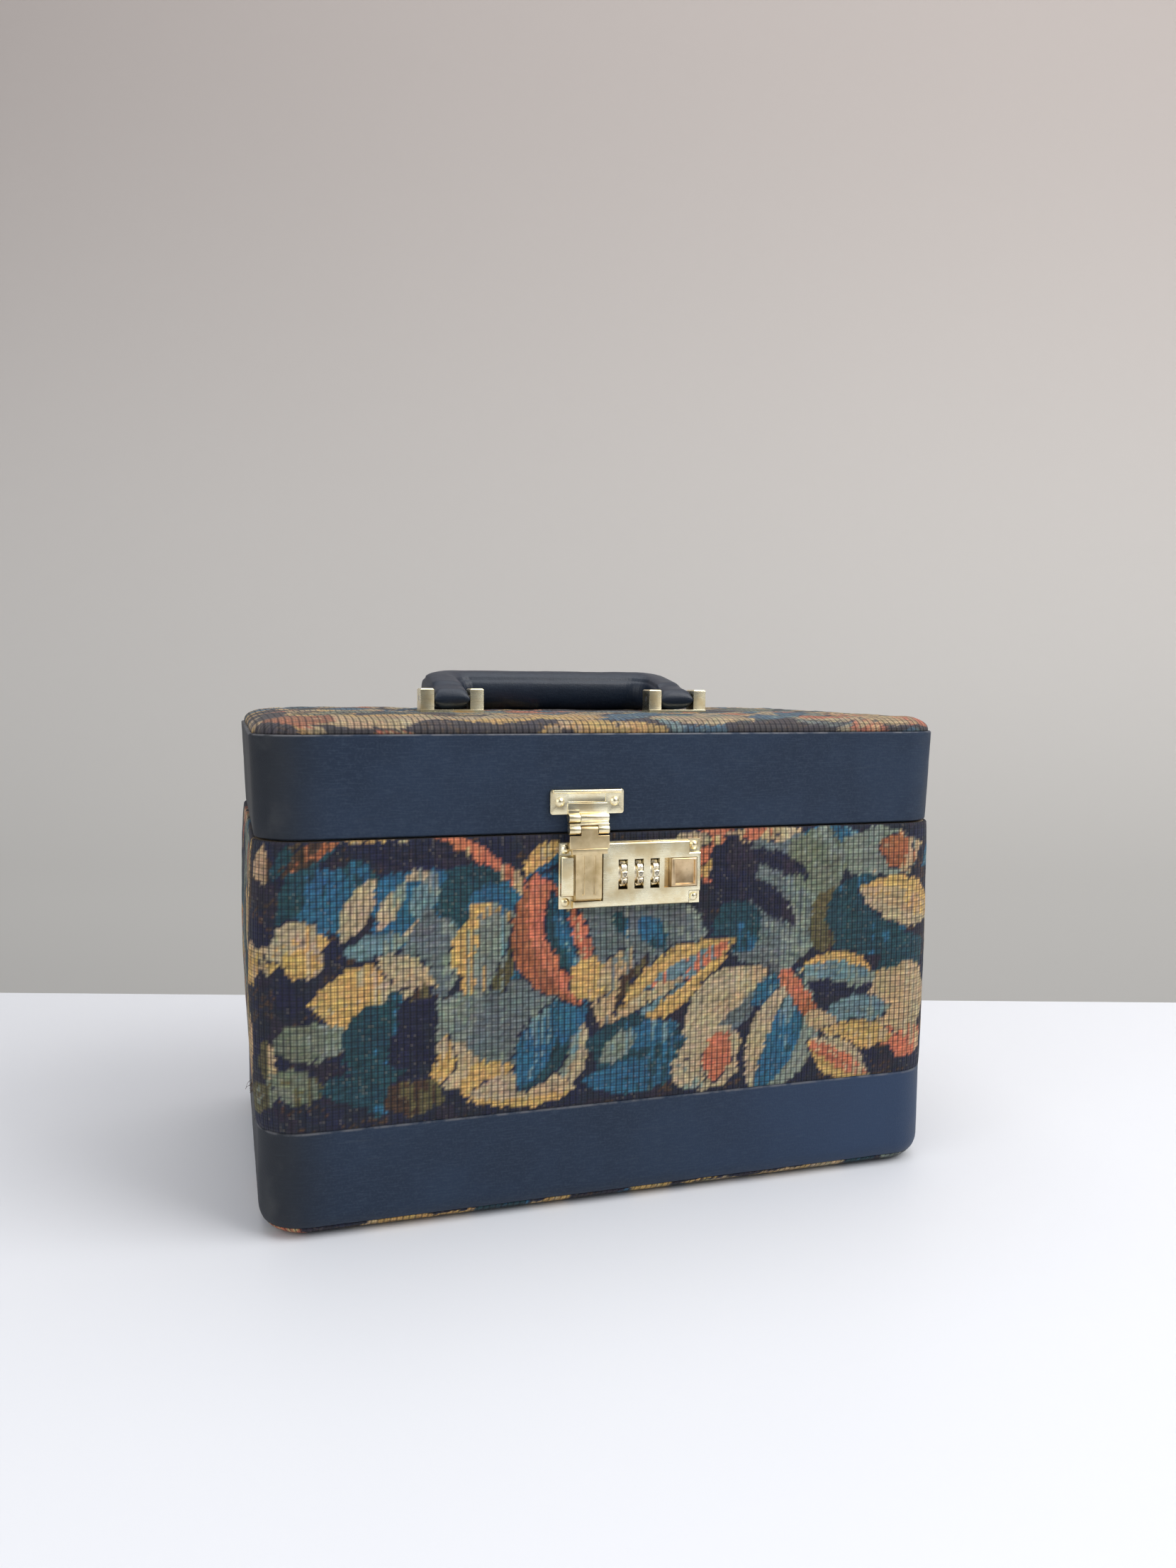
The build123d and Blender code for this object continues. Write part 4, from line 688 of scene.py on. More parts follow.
def body_cloth():
    """Cloth skin of the body, a grid of one cell a thread.

    It stands out from the board as a sine arch between the bands, 2.4 mm on the left wall, 1 mm
    elsewhere, flat under the lock and the hinges, and turns in at both edges.
    """
    columns = int(round(GIRTH / THREAD))
    s = (np.arange(columns) / columns - 0.5) * GIRTH
    heights = np.arange(BAND_TOP + 0.0001, PARTING - 0.0004, THREAD)
    flat = wrapped(s, 0.0, heights[:, None])
    arch = np.sin(pi * (heights - BAND_TOP) / (PARTING - BAND_TOP))[:, None] ** 0.6
    left = ramp(-s, FRONT_FLAT, FRONT_FLAT + QUARTER)
    left = left * (1 - ramp(-s, GIRTH / 2 - FRONT_FLAT - QUARTER, GIRTH / 2 - FRONT_FLAT))
    swell = 0.0009 + 0.0016 * left[None]
    ripple = 0.0002 * waves(flat * 1000, 11, 38.0) + 0.00012 * waves(flat * 1000, 12, 9.0, 2)
    calm = 1 - np.maximum(lock_side(flat), hinge_side(flat))
    out = (arch * (swell + ripple) + 0.0001) * calm
    last = out[-1:]
    out = np.concatenate([out[:1] * 0 - 0.0011, out, last * 0 - 0.0003, last * 0 - 0.0011])
    rows = np.concatenate([heights[:1], heights, [PARTING - 0.0002, PARTING - 0.00025]])
    points = wrapped(s, out, rows[:, None])
    u, v = np.meshgrid(s * 1000, rows * 1000)
    colour = verdure(u.ravel(), v.ravel(), MOTIFS + SIDE_MOTIFS, GIRTH * 1000, 5)
    uv = np.stack([u, v], -1).reshape(-1, 2) / (THREAD * 1000)
    faces = grid_faces(len(rows), columns, closed_columns=True)
    middle = points.reshape(-1, 3)[faces].mean(1)
    lock_low, lock_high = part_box("lock_case")
    hole = (middle[:, 1] < -0.09) & (middle[:, 0] > lock_low.x) & (middle[:, 0] < lock_high.x)
    hole &= (middle[:, 2] > lock_low.z) & (middle[:, 2] < lock_high.z)
    piece = put_mesh("body_tapestry", "case", points.reshape(-1, 3), [faces[~hole]], uv, colour)
    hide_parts("body_cover")
    return dressed(piece, CLOTH)


THIRD = GIRTH * 1000 / 3
SIDE_MOTIFS = moved(MOTIFS, THIRD, 0) + moved(MOTIFS, -THIRD, 0) + [
    ("leaf", -176, 152, 50, 12, 88, 0.1, "sand", "ochre", None, "brown"),
    ("lobe", -172, 120, 20, 13, 70, 0, "ochre", "sand"),
    ("leaf", -180, 84, 52, 14, 86, -0.1, "sand", "olive", "ochre"),
    ("leaf", -168, 62, 26, 12, 20, 0, "olive", "sage"),
    ("leaf", 172, 120, 56, 15, 85, 0.1, "sand", "beige", None, "coral"),
    ("lobe", 176, 78, 34, 26, 60, 0, "sand", "coral"),
    ("leaf", 166, 158, 24, 10, 30, 0, "blue", "sky"),
]
body_cloth()


def edge_roll(z):
    """How far the rounded foot of the case draws in at height z: a quarter circle."""
    low = np.clip(FOOT_RADIUS - z, 0, FOOT_RADIUS)
    return FOOT_RADIUS - np.sqrt(FOOT_RADIUS ** 2 - low ** 2)


def foot_cloth():
    """Woven strip under the lower band and the covered underside, one cell a thread round it.

    Its rows follow the quarter circle of the foot down to the ground, and a flat ring and one
    many-sided face close the underside.
    """
    columns = int(round(GIRTH / THREAD))
    s = (np.arange(columns) / columns - 0.5) * GIRTH
    turn = np.linspace(0, 1, 10) ** 0.8
    heights = STRIP_TOP * (1 - turn)
    ripple = 0.00012 * waves(wrapped(s, 0.0, heights[:, None]) * 1000, 31, 12.0)
    out = -edge_roll(heights)[:, None] - 0.0001 + np.minimum(ripple, 0)
    heights = np.concatenate([[BAND_FOOT], heights])
    out = np.concatenate([out[:1] * 0 - 0.0036, out])
    points = wrapped(s, out, heights[:, None])
    inner = wrapped(s, -0.0195, np.zeros((1, 1)))
    points = np.concatenate([points, inner])
    rows = len(heights) + 1
    u, v = np.meshgrid(s * 1000, np.append(heights * 1000, -7.0))
    colour = verdure(u.ravel(), v.ravel(), FOOT_MOTIFS, GIRTH * 1000, 8)
    uv = np.stack([u, v], -1).reshape(-1, 2) / (THREAD * 1000)
    faces = grid_faces(rows, columns, closed_columns=True, flip=True)
    under = (np.arange(columns) + (rows - 1) * columns)[None, :]
    piece = put_mesh("foot_tapestry", "case", points.reshape(-1, 3), [faces, under], uv, colour)
    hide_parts("bottom_cover")
    return dressed(piece, CLOTH)


FOOT_MOTIFS = [
    ("leaf", -64, 2, 70, 5, 1, 0, "ochre", "sand"),
    ("leaf", -118, 1, 30, 5, 0, 0, "brown", "olive"),
    ("leaf", 42, 3, 24, 4, 2, 0, "ochre", "brown"), ("leaf", 92, 2, 60, 5, 1, 0, "sand", "ochre"),
    ("leaf", 12, 1, 40, 5, 0, 0, "blue", "teal"),
] + scattered(33, 26, -6, 6, GIRTH * 1000)[:24]


def band(name, body, node, low, high, lean, seed):
    """Vinyl band: a flat or flared wall with rounded edges that turn in, faint waves in its face.

    Standing out from the plan is lean(z) less the edge roll; the last 0.8 mm at each edge follows
    a quarter circle, and low waves of 0.12 mm run over the face.
    """
    columns = 560
    s = (np.arange(columns) / columns - 0.5) * GIRTH
    face = np.linspace(low + 0.0008, high - 0.0008, 30)
    turn = np.linspace(0, pi / 2, 5)[1:]
    z = np.concatenate([(low + 0.0008 - 0.0008 * np.sin(turn))[::-1], face,
                        high - 0.0008 + 0.0008 * np.sin(turn)])
    tuck = np.concatenate([(0.0008 - 0.0008 * np.cos(turn))[::-1], face * 0,
                           0.0008 - 0.0008 * np.cos(turn)])
    flat = wrapped(s, 0.0, z[:, None])
    soft = 0.00010 * waves(flat * 1000, seed, 60.0) + 0.00005 * waves(flat * 1000, seed + 1, 14.0)
    soft = soft * (1 - lock_side(flat)) * (1 - hinge_side(flat))
    soft = np.minimum(soft, 0.00004) if node == "lid_band" else soft
    out = lean(z)[:, None] - edge_roll(z)[:, None] - tuck[:, None] + soft
    points = wrapped(s, out, z[:, None])
    first, last = points[:1].copy(), points[-1:].copy()
    plan, normal = plan_point(s)
    for ring, lip in ((first, 0.0006), (last, 0.0006 if node == "lower_band" else 0.0022)):
        ring[..., :2] -= normal[None] * lip
    points = np.concatenate([first, points, last])
    piece = put_mesh(name, body, points.reshape(-1, 3),
                     [grid_faces(len(points), columns, closed_columns=True)])
    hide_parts(node)
    return dressed(piece, NAVY)


def flare(z):
    """Lean of the lid's band: 0.7 mm in at its foot, 1.1 mm out at its top, a straight line."""
    return -0.0007 + 0.0018 * (z - LID_LOW) / (LID_BAND_TOP - LID_LOW)


def pad_swell():
    """Swell of the padded top, 0 to 1, on a grid of 5 mm, from a cloth simulation.

    A slightly loose sheet, held at its rim and under the two brackets, is blown up from below for
    22 frames. Its height, less the held level, is divided by the greatest height.
    """
    x, y = np.linspace(-0.160, 0.160, 65), np.linspace(-0.095, 0.095, 39)
    across, along = np.meshgrid(x, y)
    jitter = np.random.default_rng(9).uniform(-0.0002, 0.0002, across.shape)
    start = np.stack([across, along, jitter], -1).reshape(-1, 3)
    mesh = bpy.data.meshes.new("pad sheet")
    mesh.from_pydata(start, [], grid_faces(39, 65).tolist())
    sheet = bpy.data.objects.new("pad sheet", mesh)
    bpy.context.collection.objects.link(sheet)
    rim = (np.abs(across) > 0.154) | (np.abs(along) > 0.089)
    feet = (np.abs(np.abs(across) - BRACKET_X) < 0.019) & (np.abs(along - PIVOT_Y) < 0.009)
    held = sheet.vertex_groups.new(name="held")
    held.add(np.flatnonzero((rim | feet).ravel()).tolist(), 1.0, "REPLACE")
    cloth = sheet.modifiers.new("cloth", "CLOTH")
    cloth.settings.vertex_group_mass = "held"
    cloth.settings.use_pressure = True
    cloth.settings.uniform_pressure_force = 3
    cloth.settings.bending_stiffness = 2
    cloth.settings.shrink_min = -0.012
    cloth.settings.effector_weights.gravity = 0
    for frame_number in range(1, 23):
        bpy.context.scene.frame_set(frame_number)
    grown = sheet.evaluated_get(bpy.context.evaluated_depsgraph_get()).data
    flat = np.empty(len(start) * 3)
    grown.vertices.foreach_get("co", flat)
    bpy.context.scene.frame_set(1)
    bpy.data.objects.remove(sheet)
    bpy.data.meshes.remove(mesh)
    height = flat.reshape(39, 65, 3)[..., 2]
    return x, y, np.clip(height / np.abs(height).max(), 0, 1)


def between(x, y, field, px, py):
    """Value of a field on a grid at other points, by the weights of the four nearest."""
    i = np.clip((px - x[0]) / (x[1] - x[0]), 0, len(x) - 1.001)
    j = np.clip((py - y[0]) / (y[1] - y[0]), 0, len(y) - 1.001)
    a, b = i.astype(int), j.astype(int)
    i, j = i - a, j - b
    return (field[b, a] * (1 - i) * (1 - j) + field[b, a + 1] * i * (1 - j)
            + field[b + 1, a] * (1 - i) * j + field[b + 1, a + 1] * i * j)


def lid_cloth():
    """Padded woven top of the lid.

    Rows run across at thread spacing, closer at the rims, and each row spans the rounded plan's
    width there. Height is a quarter superellipse of the distance d to the rim: foot + rise *
    (1 - (1 - d / 15 mm)^2.4)^(1 / 2.4), with low waves and the swell of a cloth simulation away
    from the brackets and the handle. The thread colours are mixed with a dusty grey.
    """
    half_w, half_d, corner = 0.1646, 0.0996, 0.0206
    near = np.array([0, 0.0001, 0.0004, 0.0009, 0.0016, 0.0025, 0.0036, 0.0048])

    def lines(half):
        inner = np.linspace(-half + 0.006, half - 0.006, int(round(2 * (half - 0.006) / THREAD)))
        return np.concatenate([near - half, inner, (half - near)[::-1]])

    ys, us = lines(half_d), lines(half_w) / half_w
    corner_dy = np.clip(np.abs(ys) - (half_d - corner), 0, corner)
    reach = half_w - corner + np.sqrt(corner ** 2 - corner_dy ** 2)
    x = us[None, :] * reach[:, None]
    y = np.broadcast_to(ys[:, None], x.shape)
    qx = np.abs(x) - (half_w - corner)
    qy = np.abs(y) - (half_d - corner)
    outside = np.hypot(np.maximum(qx, 0), np.maximum(qy, 0)) + np.minimum(np.maximum(qx, qy), 0)
    d = np.clip(corner - outside, 0, None)
    foot, rise = LID_BAND_TOP + 0.00005, LID_TOP - LID_BAND_TOP
    z = foot + rise * np.clip(1 - (1 - np.minimum(d / 0.015, 1)) ** 2.4, 0, 1) ** (1 / 2.4)
    place = np.stack([x, y], -1) * 1000
    bracket = np.hypot(np.maximum(np.abs(np.abs(x) - BRACKET_X) - 0.018, 0),
                       np.maximum(np.abs(y - PIVOT_Y) - 0.008, 0))
    free = ramp(bracket, 0, 0.012) * ramp(d, 0.0005, 0.008)
    under_handle = (1 - ramp(np.abs(x), 0.072, 0.100)) * (1 - ramp(np.abs(y - 0.004), 0.05, 0.075))
    lift = (0.0004 * waves(place, 41, 34.0, 2) + 0.0002 * waves(place, 42, 9.0, 2)) * free
    lift += between(*pad_swell(), x, y) * (0.0016 - 0.0013 * under_handle)
    z = z + lift
    rows, columns = x.shape
    points = np.stack([x, y, z], -1).reshape(-1, 3)
    climb = (LID_TOP - z) * 1000
    colour = verdure(x.ravel() * 1000, y.ravel() * 1000 - climb.ravel(), LID_MOTIFS, 5000.0, 15)
    colour = 0.68 * colour + 0.32 * np.array([0.150, 0.132, 0.118])
    uv = np.stack([x, y], -1).reshape(-1, 2) / THREAD
    index = np.arange(rows * columns).reshape(rows, columns)
    left, right = index[:, 0], index[:, -1]
    floor = np.stack([left[1:-2], left[2:-1], right[2:-1], right[1:-2]], -1)
    front_end = np.concatenate([index[0], [right[1], left[1]]])[None, ::-1]
    back_end = np.concatenate([index[-1], [right[-2], left[-2]]])[None]
    piece = put_mesh("lid_tapestry", "lid", points,
                     [grid_faces(rows, columns), floor, front_end, back_end], uv, colour)
    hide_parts("lid_top_cover")
    return dressed(piece, CLOTH)


LID_MOTIFS = scattered(52, 70, -118, 108, 380.0) + moved(MOTIFS, -150, -12) + moved(
    MOTIFS, 192, -12) + moved(MOTIFS, 20, -132) + moved(MOTIFS, -322, -132) + [
    ("lobe", -112, -88, 60, 30, 10, 0, "sand", "beige", "ochre"),
    ("leaf", -60, -90, 54, 20, 5, 0.1, "beige", "sand", None, "ochre"),
    ("leaf", -30, -84, 50, 20, -8, 0, "ochre", "sand"),
    ("lobe", -142, -86, 34, 30, 0, 0, "rust", "sand"),
    ("lobe", 40, -88, 52, 26, 0, 0, "beige", "sand", "mist"),
    ("leaf", 104, -90, 46, 18, -5, 0.1, "coral", "sand", None, "beige"),
    ("lobe", 142, -88, 38, 28, 0, 0, "sand", "coral"),
    ("leaf", 78, -84, 34, 16, 20, 0, "blue", "sky"),
]


def handle_roll():
    """Padded folding handle, folded back.

    In plan it fills the space between an inner and an outer U of straight lines and arcs. Across,
    a section is a superellipse whose half height grows from the pivot to the grip, faster behind
    the brackets, and whose power falls from 3.1 on the legs to 2.2 at the grip. A welt groove
    runs along its front and back sides above the middle, and fine creases cross the inner corners.
    """
    hub, grip, reach = 0.0056, 0.0108, 0.038
    outer_x, inner_x = 0.0717, 0.0533
    turn = np.linspace(0, pi / 2, 22)[1:-1]
    leg = np.linspace(0, 1, 34)
    leg_end = -hub * np.cos(np.linspace(0, pi / 2, 7)[:-1]) * 0.985

    def half_u(x, leg_long, bend_radius):
        """End, leg, corner arc and half the grip of one U, from the pivot to the middle."""
        turn_x = x - bend_radius
        return np.concatenate([
            np.stack([leg_end * 0 + x, leg_end], -1), np.stack([leg * 0 + x, leg * leg_long], -1),
            np.stack([turn_x + bend_radius * np.cos(turn),
                      leg_long + bend_radius * np.sin(turn)], -1),
            np.stack([np.linspace(turn_x, 0, 40), np.full(40, leg_long + bend_radius)], -1)])

    inner, outer = half_u(inner_x, 0.0182, 0.009), half_u(outer_x, 0.0358, 0.013)
    mirror = np.array([-1, 1])
    inner = np.concatenate([inner, inner[-2::-1] * mirror])
    outer = np.concatenate([outer, outer[-2::-1] * mirror])
    middle, half = (inner + outer) / 2, (outer - inner) / 2
    along = middle[:, 1]
    height = hub + 0.1 * along + 0.0014 * ramp(along, 0.0062, 0.0115)
    height = np.minimum(height, grip)
    end = np.clip(-along / hub, 0, 1)
    height = np.where(along < 0, hub * np.sqrt(np.clip(1 - end ** 2, 0, 1)), height)
    power = 3.1 - 0.9 * ramp(along, 0.024, 0.038)
    a = np.linspace(0, 2 * pi, 72, endpoint=False)
    ca, sa = np.cos(a)[None], np.sin(a)[None]
    size = (np.abs(ca) ** power[:, None] + np.abs(sa) ** power[:, None]) ** (-1 / power[:, None])
    groove = sum(np.exp(-((a[None] - at) / 0.055) ** 2) for at in (radians(38), radians(142)))
    size = size * (1 - 0.075 * groove * ramp(along, -0.002, 0.006)[:, None])
    run = np.concatenate([[0], np.cumsum(np.linalg.norm(np.diff(middle, axis=0), axis=1))])
    bend = np.exp(-((np.abs(middle[:, 0]) - 0.055) / 0.007) ** 2) * ramp(along, 0.015, 0.028)
    crease = bend[:, None] * np.clip(-ca, 0, 1) * np.sin(run * 2 * pi / 0.0022)[:, None] * 0.014
    size = size * (1 + crease)
    across, up = size * ca, size * sa * height[:, None]
    plan = middle[:, None] + half[:, None] * across[..., None]
    rest = atan2(0.004, np.sqrt(reach ** 2 - 0.004 ** 2))
    y = PIVOT_Y + plan[..., 1] * cos(rest) - up * sin(rest)
    z = PIVOT_Z + plan[..., 1] * sin(rest) + up * cos(rest)
    points = np.stack([plan[..., 0], y, z], -1)
    soft = 0.00012 * waves(points * 1000, 61, 22.0)
    points[..., 2] += soft * ramp(along, 0.004, 0.02)[:, None]
    rows = len(points)
    caps = np.stack([np.arange(72)[::-1], np.arange(72) + (rows - 1) * 72])
    piece = put_mesh("handle_roll", "handle", points.reshape(-1, 3),
                     [grid_faces(rows, 72, closed_columns=True), caps])
    outward(piece)
    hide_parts("handle_grip")
    return dressed(piece, GRIP)


def outward(piece):
    """Turns the faces of a closed piece outwards."""
    work = bmesh.new()
    work.from_mesh(piece.data)
    bmesh.ops.recalc_face_normals(work, faces=work.faces)
    work.to_mesh(piece.data)
    work.free()


def mirror_surround():
    """Cloth-covered frame of the mirror: a ring of rounded section with fine gathers across it."""
    flat_x, flat_y, corner = 0.090, 0.045, 0.010
    low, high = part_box("mirror_frame")
    a = np.linspace(0, 2 * pi, 26, endpoint=False)
    columns = 640
    girth = 4 * (flat_x + flat_y) + 2 * pi * corner
    s = (np.arange(columns) / columns) * girth
    plan, normal = plan_point((s - flat_x + girth / 2) % girth - girth / 2, flat_x, flat_y, corner)
    gather = 0.00018 * np.sin(s * 2 * pi / 0.0042)[None, :] * np.abs(np.sin(a))[:, None]
    out = 0.002 + 0.0058 * np.sign(np.cos(a)) * np.abs(np.cos(a)) ** 0.7
    middle, tall = (low.z + high.z) / 2, (high.z - low.z) / 2 - 0.0002
    z = middle + (tall * np.sign(np.sin(a)) * np.abs(np.sin(a)) ** 0.7)[:, None] + gather
    z = np.minimum(z, high.z)
    xy = plan[None] + normal[None] * out[:, None, None]
    points = np.concatenate([xy, z[..., None]], -1)
    piece = put_mesh("mirror_surround", "lid", points.reshape(-1, 3),
                     [grid_faces(26, columns, closed_rows=True, closed_columns=True)])
    outward(piece)
    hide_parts("mirror_frame")
    return dressed(piece, LINING)


def softened(node, body, width, material):
    """Copy of a metal part with its sharp edges rounded by a small bevel."""
    work = bmesh.new()
    work.from_mesh(frame["nodes"][node].data)
    bmesh.ops.remove_doubles(work, verts=work.verts, dist=1e-6)
    bmesh.ops.dissolve_limit(work, angle_limit=radians(1.5), verts=work.verts, edges=work.edges)
    sharp = [e for e in work.edges if len(e.link_faces) == 2 and e.calc_face_angle() > radians(35)]
    bmesh.ops.bevel(work, geom=sharp, offset=width, segments=2, profile=0.6, affect="EDGES",
                    clamp_overlap=True)
    bmesh.ops.triangulate(work, faces=[f for f in work.faces if len(f.verts) > 4])
    mesh = bpy.data.meshes.new(node + "_soft")
    work.to_mesh(mesh)
    work.free()
    mesh.shade_smooth()
    mesh.set_sharp_from_angle(angle=radians(32))
    piece = bpy.data.objects.new(node + "_soft", mesh)
    bpy.context.collection.objects.link(piece)
    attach(piece, body)
    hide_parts(node)
    return dressed(piece, material)


def knurled_wheel(node, body):
    """Number wheel: a narrow rim with ten lands and nine tenths of a millimetre of groove between.

    Radius over angle is R less a groove 0.9 * exp(-(g / 5 deg)^2), g the angle to the nearest
    groove; the left fifth is a plain hub of a smaller radius.
    """
    low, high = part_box(node)
    wide, radius = high.x - low.x, (high.z - low.z) / 2
    centre_y, centre_z = (low.y + high.y) / 2, (low.z + high.z) / 2
    a = np.linspace(0, 2 * pi, 180, endpoint=False)
    off = (np.degrees(a) + 18 + 18) % 36 - 18
    groove = np.exp(-(off / 5.0) ** 2)
    across = np.array([0.0, 0.0, 0.26, 0.27, 0.33, 0.60, 0.93, 1.0, 1.0])
    level = np.array([1.45, 5.0, 5.0, 6.2, 6.6, 6.6, 6.6, 6.2, 1.45]) / 6.6 * radius
    cut = np.array([0, 0, 0, 0.7, 0.9, 0.9, 0.9, 0.7, 0]) / 6.6 * radius
    r = level[:, None] - cut[:, None] * groove[None]
    x = low.x + wide * across[:, None] + 0 * r
    points = np.stack([x, centre_y - r * np.cos(a), centre_z + r * np.sin(a)], -1)
    piece = put_mesh(node + "_knurled", body, points.reshape(-1, 3),
                     [grid_faces(9, 180, closed_rows=True, closed_columns=True)])
    outward(piece)
    piece.data.set_sharp_from_angle(angle=radians(40))
    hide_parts(node)
    return dressed(piece, WHEEL)


def wheel_numbers(node, body):
    """Numbers round one wheel: flat figures wrapped on the rim, height over radius as angle."""
    low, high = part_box(node)
    x0, y0, z0 = (low + high) / 2
    x0 += 0.00055
    radius = (high.z - low.z) / 2
    curve = bpy.data.curves.new("figure", "FONT")
    curve.size, curve.extrude, curve.align_x, curve.align_y = 0.0030, 0.00006, "CENTER", "CENTER"
    text = bpy.data.objects.new("figure", curve)
    bpy.context.collection.objects.link(text)
    points, faces, at = [], [], 0
    for digit in range(10):
        curve.body = str(digit)
        bpy.context.view_layer.update()
        shape = bpy.data.meshes.new_from_object(text.evaluated_get(
            bpy.context.evaluated_depsgraph_get()))
        work = bmesh.new()
        work.from_mesh(shape)
        bmesh.ops.triangulate(work, faces=work.faces)
        p = np.array([v.co for v in work.verts])
        work.verts.index_update()
        faces.append(np.array([[v.index + at for v in f.verts] for f in work.faces]))
        work.free()
        bpy.data.meshes.remove(shape)
        turn = radians(36) * digit + p[:, 1] / radius
        r = radius + 0.00001 + p[:, 2]
        points.append(np.stack([x0 + p[:, 0], y0 - r * np.cos(turn), z0 + r * np.sin(turn)], -1))
        at += len(p)
    bpy.data.objects.remove(text)
    bpy.data.curves.remove(curve)
    piece = put_mesh(node + "_figures", body, np.concatenate(points), faces, smooth=False)
    return dressed(piece, INK)


def loose_threads():
    """Frayed ends of weft at the left of the lower seam: tubes along short random bends."""
    rng = np.random.default_rng(77)
    points, faces, at = [], [], 0
    a = np.linspace(0, 2 * pi, 6, endpoint=False)
    spots = list(rng.uniform(-0.260, -0.160, 12)) + list(rng.uniform(-0.229, -0.213, 26))
    for k, s in enumerate(spots):
        plan, normal = plan_point(np.array([s]))
        plan, normal = plan[0], normal[0]
        tangent = np.array([-normal[1], normal[0]])
        long = rng.uniform(0.0014, 0.0032) if k > 13 else rng.uniform(0.0006, 0.0016)
        long = 0.0058 if k in (20, 31) else long
        lean, curl = rng.uniform(-0.9, 0.9), rng.uniform(-1.6, 1.6)
        t = np.linspace(0, 1, 7)
        out = long * t * (1 - 0.35 * t)
        side = long * (lean * t + curl * t ** 2) * 0.7
        z = BAND_TOP + 0.0003 + rng.uniform(-0.0004, 0.0012) + long * (0.3 * t - 0.7 * t ** 2)
        line = np.stack([plan[0] + normal[0] * out + tangent[0] * side,
                         plan[1] + normal[1] * out + tangent[1] * side, z], -1)
        step = np.gradient(line, axis=0)
        step /= np.linalg.norm(step, axis=1)[:, None]
        first = np.cross(step, [0, 0, 1.0])
        first /= np.linalg.norm(first, axis=1)[:, None]
        second = np.cross(step, first)
        thick = 0.00014 * (1 - 0.5 * t)[:, None, None]
        ring = line[:, None] + thick * (first[:, None] * np.cos(a)[None, :, None]
                                        + second[:, None] * np.sin(a)[None, :, None])
        points.append(ring.reshape(-1, 3))
        faces.append(grid_faces(7, 6, closed_columns=True) + at)
        at += 42
    piece = put_mesh("loose_threads", "case", np.concatenate(points), faces)
    return dressed(piece, LOOSE)


foot_cloth()
band("lower_vinyl", "case", "lower_band", BAND_FOOT, BAND_TOP, lambda z: 0 * z, 71)
band("lid_vinyl", "lid", "lid_band", LID_LOW, LID_BAND_TOP, flare, 73)
lid_cloth()
handle_roll()
mirror_surround()
loose_threads()
for name, body, width in (("lock_plate", "case", 0.0003), ("hasp_plate", "lid", 0.0005),
                          ("hasp_link", "hasp_link", 0.0002), ("hasp_arm", "hasp_arm", 0.0003),
                          ("thumb_slide", "bolt_slide", 0.00025),
                          ("handle_bracket_left", "lid", 0.0004),
                          ("handle_bracket_right", "lid", 0.0004),
                          ("stay_arm_left", "stay_left", 0.0002),
                          ("stay_arm_right", "stay_right", 0.0002)):
    worn = {"hasp_arm": BROWNED, "thumb_slide": DISHED}
    softened(name, body, width, worn.get(name, GOLD))
for node, body in (("number_wheel_1", "wheel_a"), ("number_wheel_2", "wheel_b"),
                   ("number_wheel_3", "wheel_c")):
    knurled_wheel(node, body)
    wheel_numbers(node, body)


# Camera, from the lines of the case
yaw, pitch, roll = radians(17.4533), radians(4.9786), radians(0.4768)
forward = Vector((sin(yaw) * cos(pitch), cos(yaw) * cos(pitch), -sin(pitch)))
right = Vector((cos(yaw), -sin(yaw), 0))
up = Vector((sin(yaw) * sin(pitch), cos(yaw) * sin(pitch), cos(pitch)))
right, up = right * cos(roll) + up * sin(roll), up * cos(roll) - right * sin(roll)
lens_data = bpy.data.cameras.new("camera")
lens_data.lens = 36 * 1646.59 / 2212
lens_data.sensor_width = 36
lens_data.clip_start = 0.01
camera = bpy.data.objects.new("camera", lens_data)
bpy.context.collection.objects.link(camera)
camera.matrix_world = Matrix((
    (right.x, up.x, -forward.x, EYE.x), (right.y, up.y, -forward.y, EYE.y),
    (right.z, up.z, -forward.z, EYE.z), (0, 0, 0, 1)))
bpy.context.scene.camera = camera


# Table, wall and light
def plain(name, low, high, rough):
    """Stage sheet colour: one colour at the foot, another a metre up, with faint clouds. A change
    of colour with height is painted light.
    """
    m = Finish(name, Roughness=rough)
    at = m.place()
    base = m.mix(m.parts(at)[2].clipped(-0.2, 1.15), low, high)
    m.feed("Base Color", m.mix(m.noise(at, 1.2, 2.0) * 0.05, base, (0.3, 0.3, 0.3)))
    return m.data


def sheet_of(name, corners, material):
    """Flat stage sheet between four corners."""
    piece = put_mesh(name, None, np.array(corners, float), [np.array([[0, 1, 2, 3]])], smooth=False)
    piece.data.materials.append(material)
    return piece


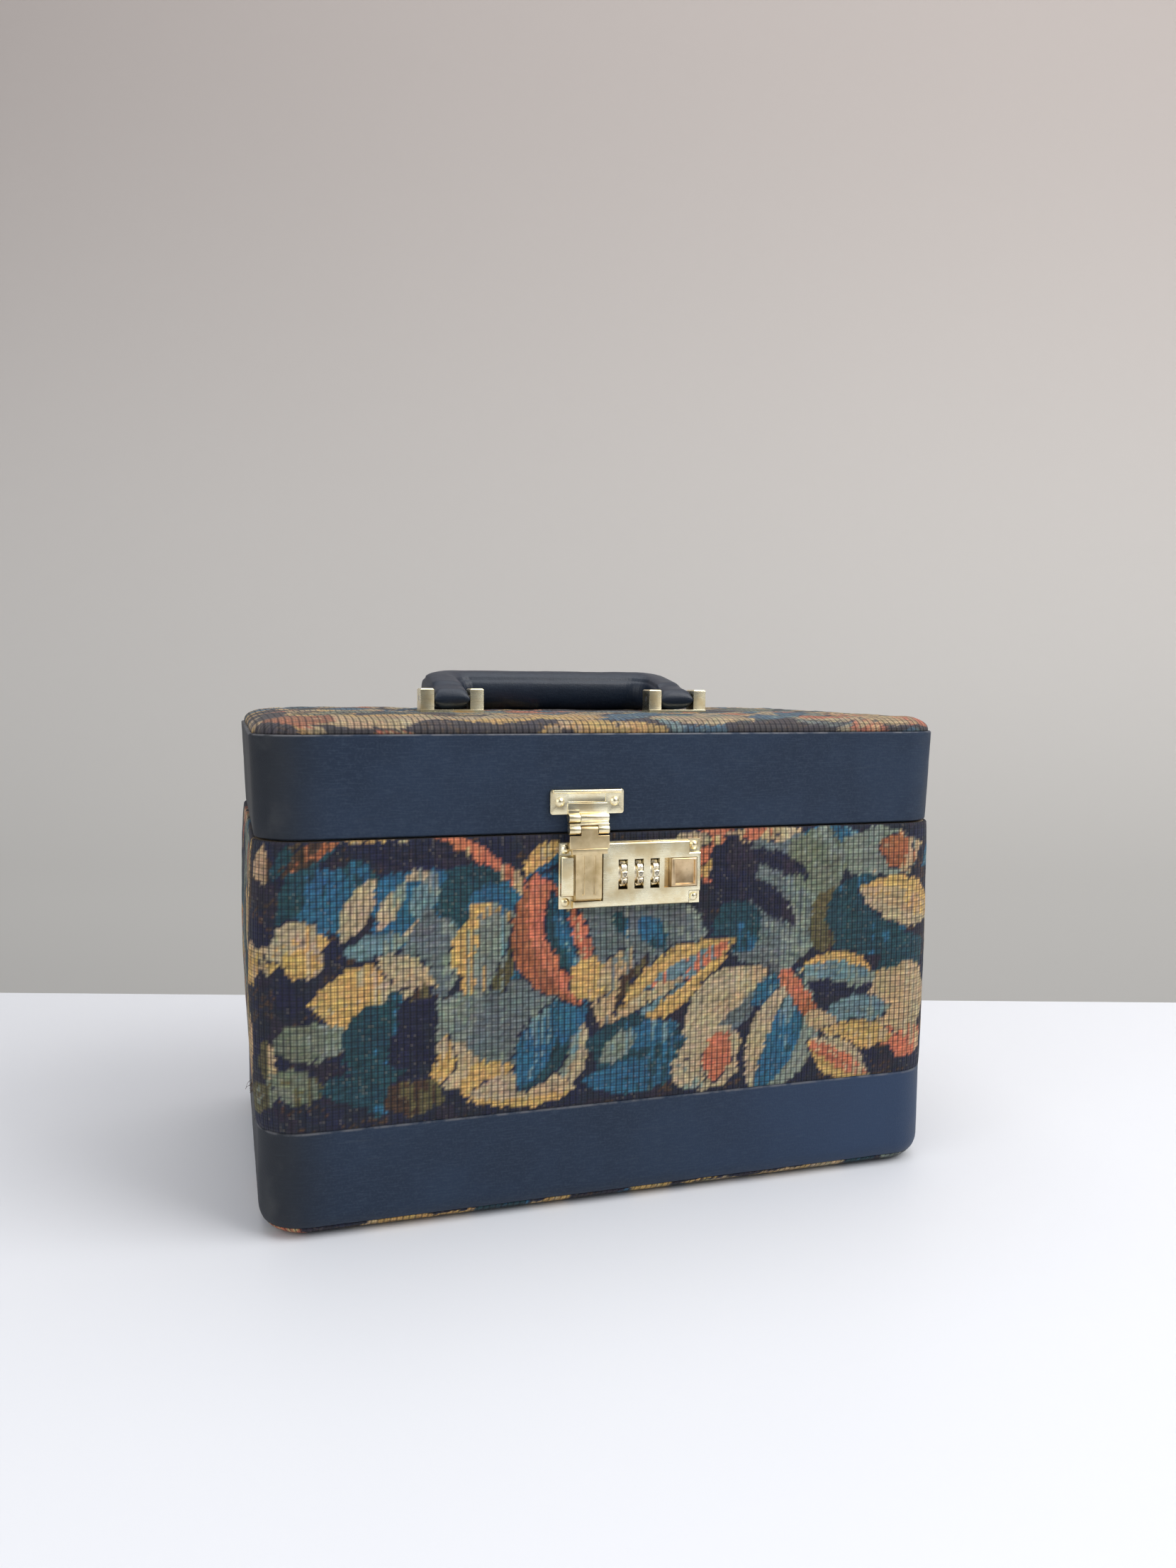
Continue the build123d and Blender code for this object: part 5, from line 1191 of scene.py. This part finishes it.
ahead = Vector((sin(yaw), cos(yaw), 0))
aside = Vector((cos(yaw), -sin(yaw), 0))
foot_line = Vector((EYE.x, EYE.y, 0)) + ahead * 0.880
floor_z = -0.0001
near_line = foot_line - ahead * 4.0
sheet_of("table", [(*(near_line - aside * 9).xy, floor_z), (*(near_line + aside * 9).xy, floor_z),
                   (*(foot_line + aside * 9).xy, floor_z), (*(foot_line - aside * 9).xy, floor_z)],
         plain("white table", (0.715, 0.73, 0.765), (0.715, 0.73, 0.765), 0.5))
wall_line = foot_line + ahead * 0.6
# Painted light on the wall: pale at its foot, darker grey higher up
sheet_of("wall", [(*(wall_line - aside * 10).xy, -1.2), (*(wall_line + aside * 10).xy, -1.2),
                  (*(wall_line + aside * 10).xy, 2.5), (*(wall_line - aside * 10).xy, 2.5)],
         plain("warm grey wall", (0.74, 0.72, 0.68), (0.42, 0.375, 0.35), 0.9))


def soft_light(name, place, target, size, power, colour):
    """Square area light that faces a point."""
    data = bpy.data.lights.new(name, "AREA")
    data.size, data.energy, data.color = size, power, colour
    lamp = bpy.data.objects.new(name, data)
    bpy.context.collection.objects.link(lamp)
    lamp.location = place
    lamp.rotation_mode = "QUATERNION"
    lamp.rotation_quaternion = (Vector(target) - Vector(place)).to_track_quat("-Z", "Y")


soft_light("window", (1.1, -0.9, 1.5), (0, 0, 0.1), 1.3, 28, (1.0, 0.99, 0.98))
soft_light("fill", (-1.3, -1.2, 0.9), (0, 0, 0.12), 1.6, 13, (0.96, 0.98, 1.0))
soft_light("top", (0.1, 0.1, 1.9), (0, -0.2, 0), 1.6, 15, (1.0, 1.0, 1.0))


def room():
    """Surrounding light: bright above and behind, dim at eye height in front, as in a room."""
    m = Finish("room", "worlds", "Background", Strength=0.58)
    turned = m.node("ShaderNodeVectorMath", {"operation": "DOT_PRODUCT"},
                    {0: m.node("ShaderNodeTexCoord"), 1: (-0.35, -0.93, -0.25)}, out=1)
    stops = [(at, (0.94 * grey, 0.95 * grey, grey)) for at, grey in ((0.25, 1.0), (0.9, 0.12))]
    m.feed("Color", m.node("ShaderNodeValToRGB", {"stops": stops}, {"Fac": turned}))
    return m.data


bpy.context.scene.world = room()
bpy.context.scene.view_settings.view_transform = "Standard"
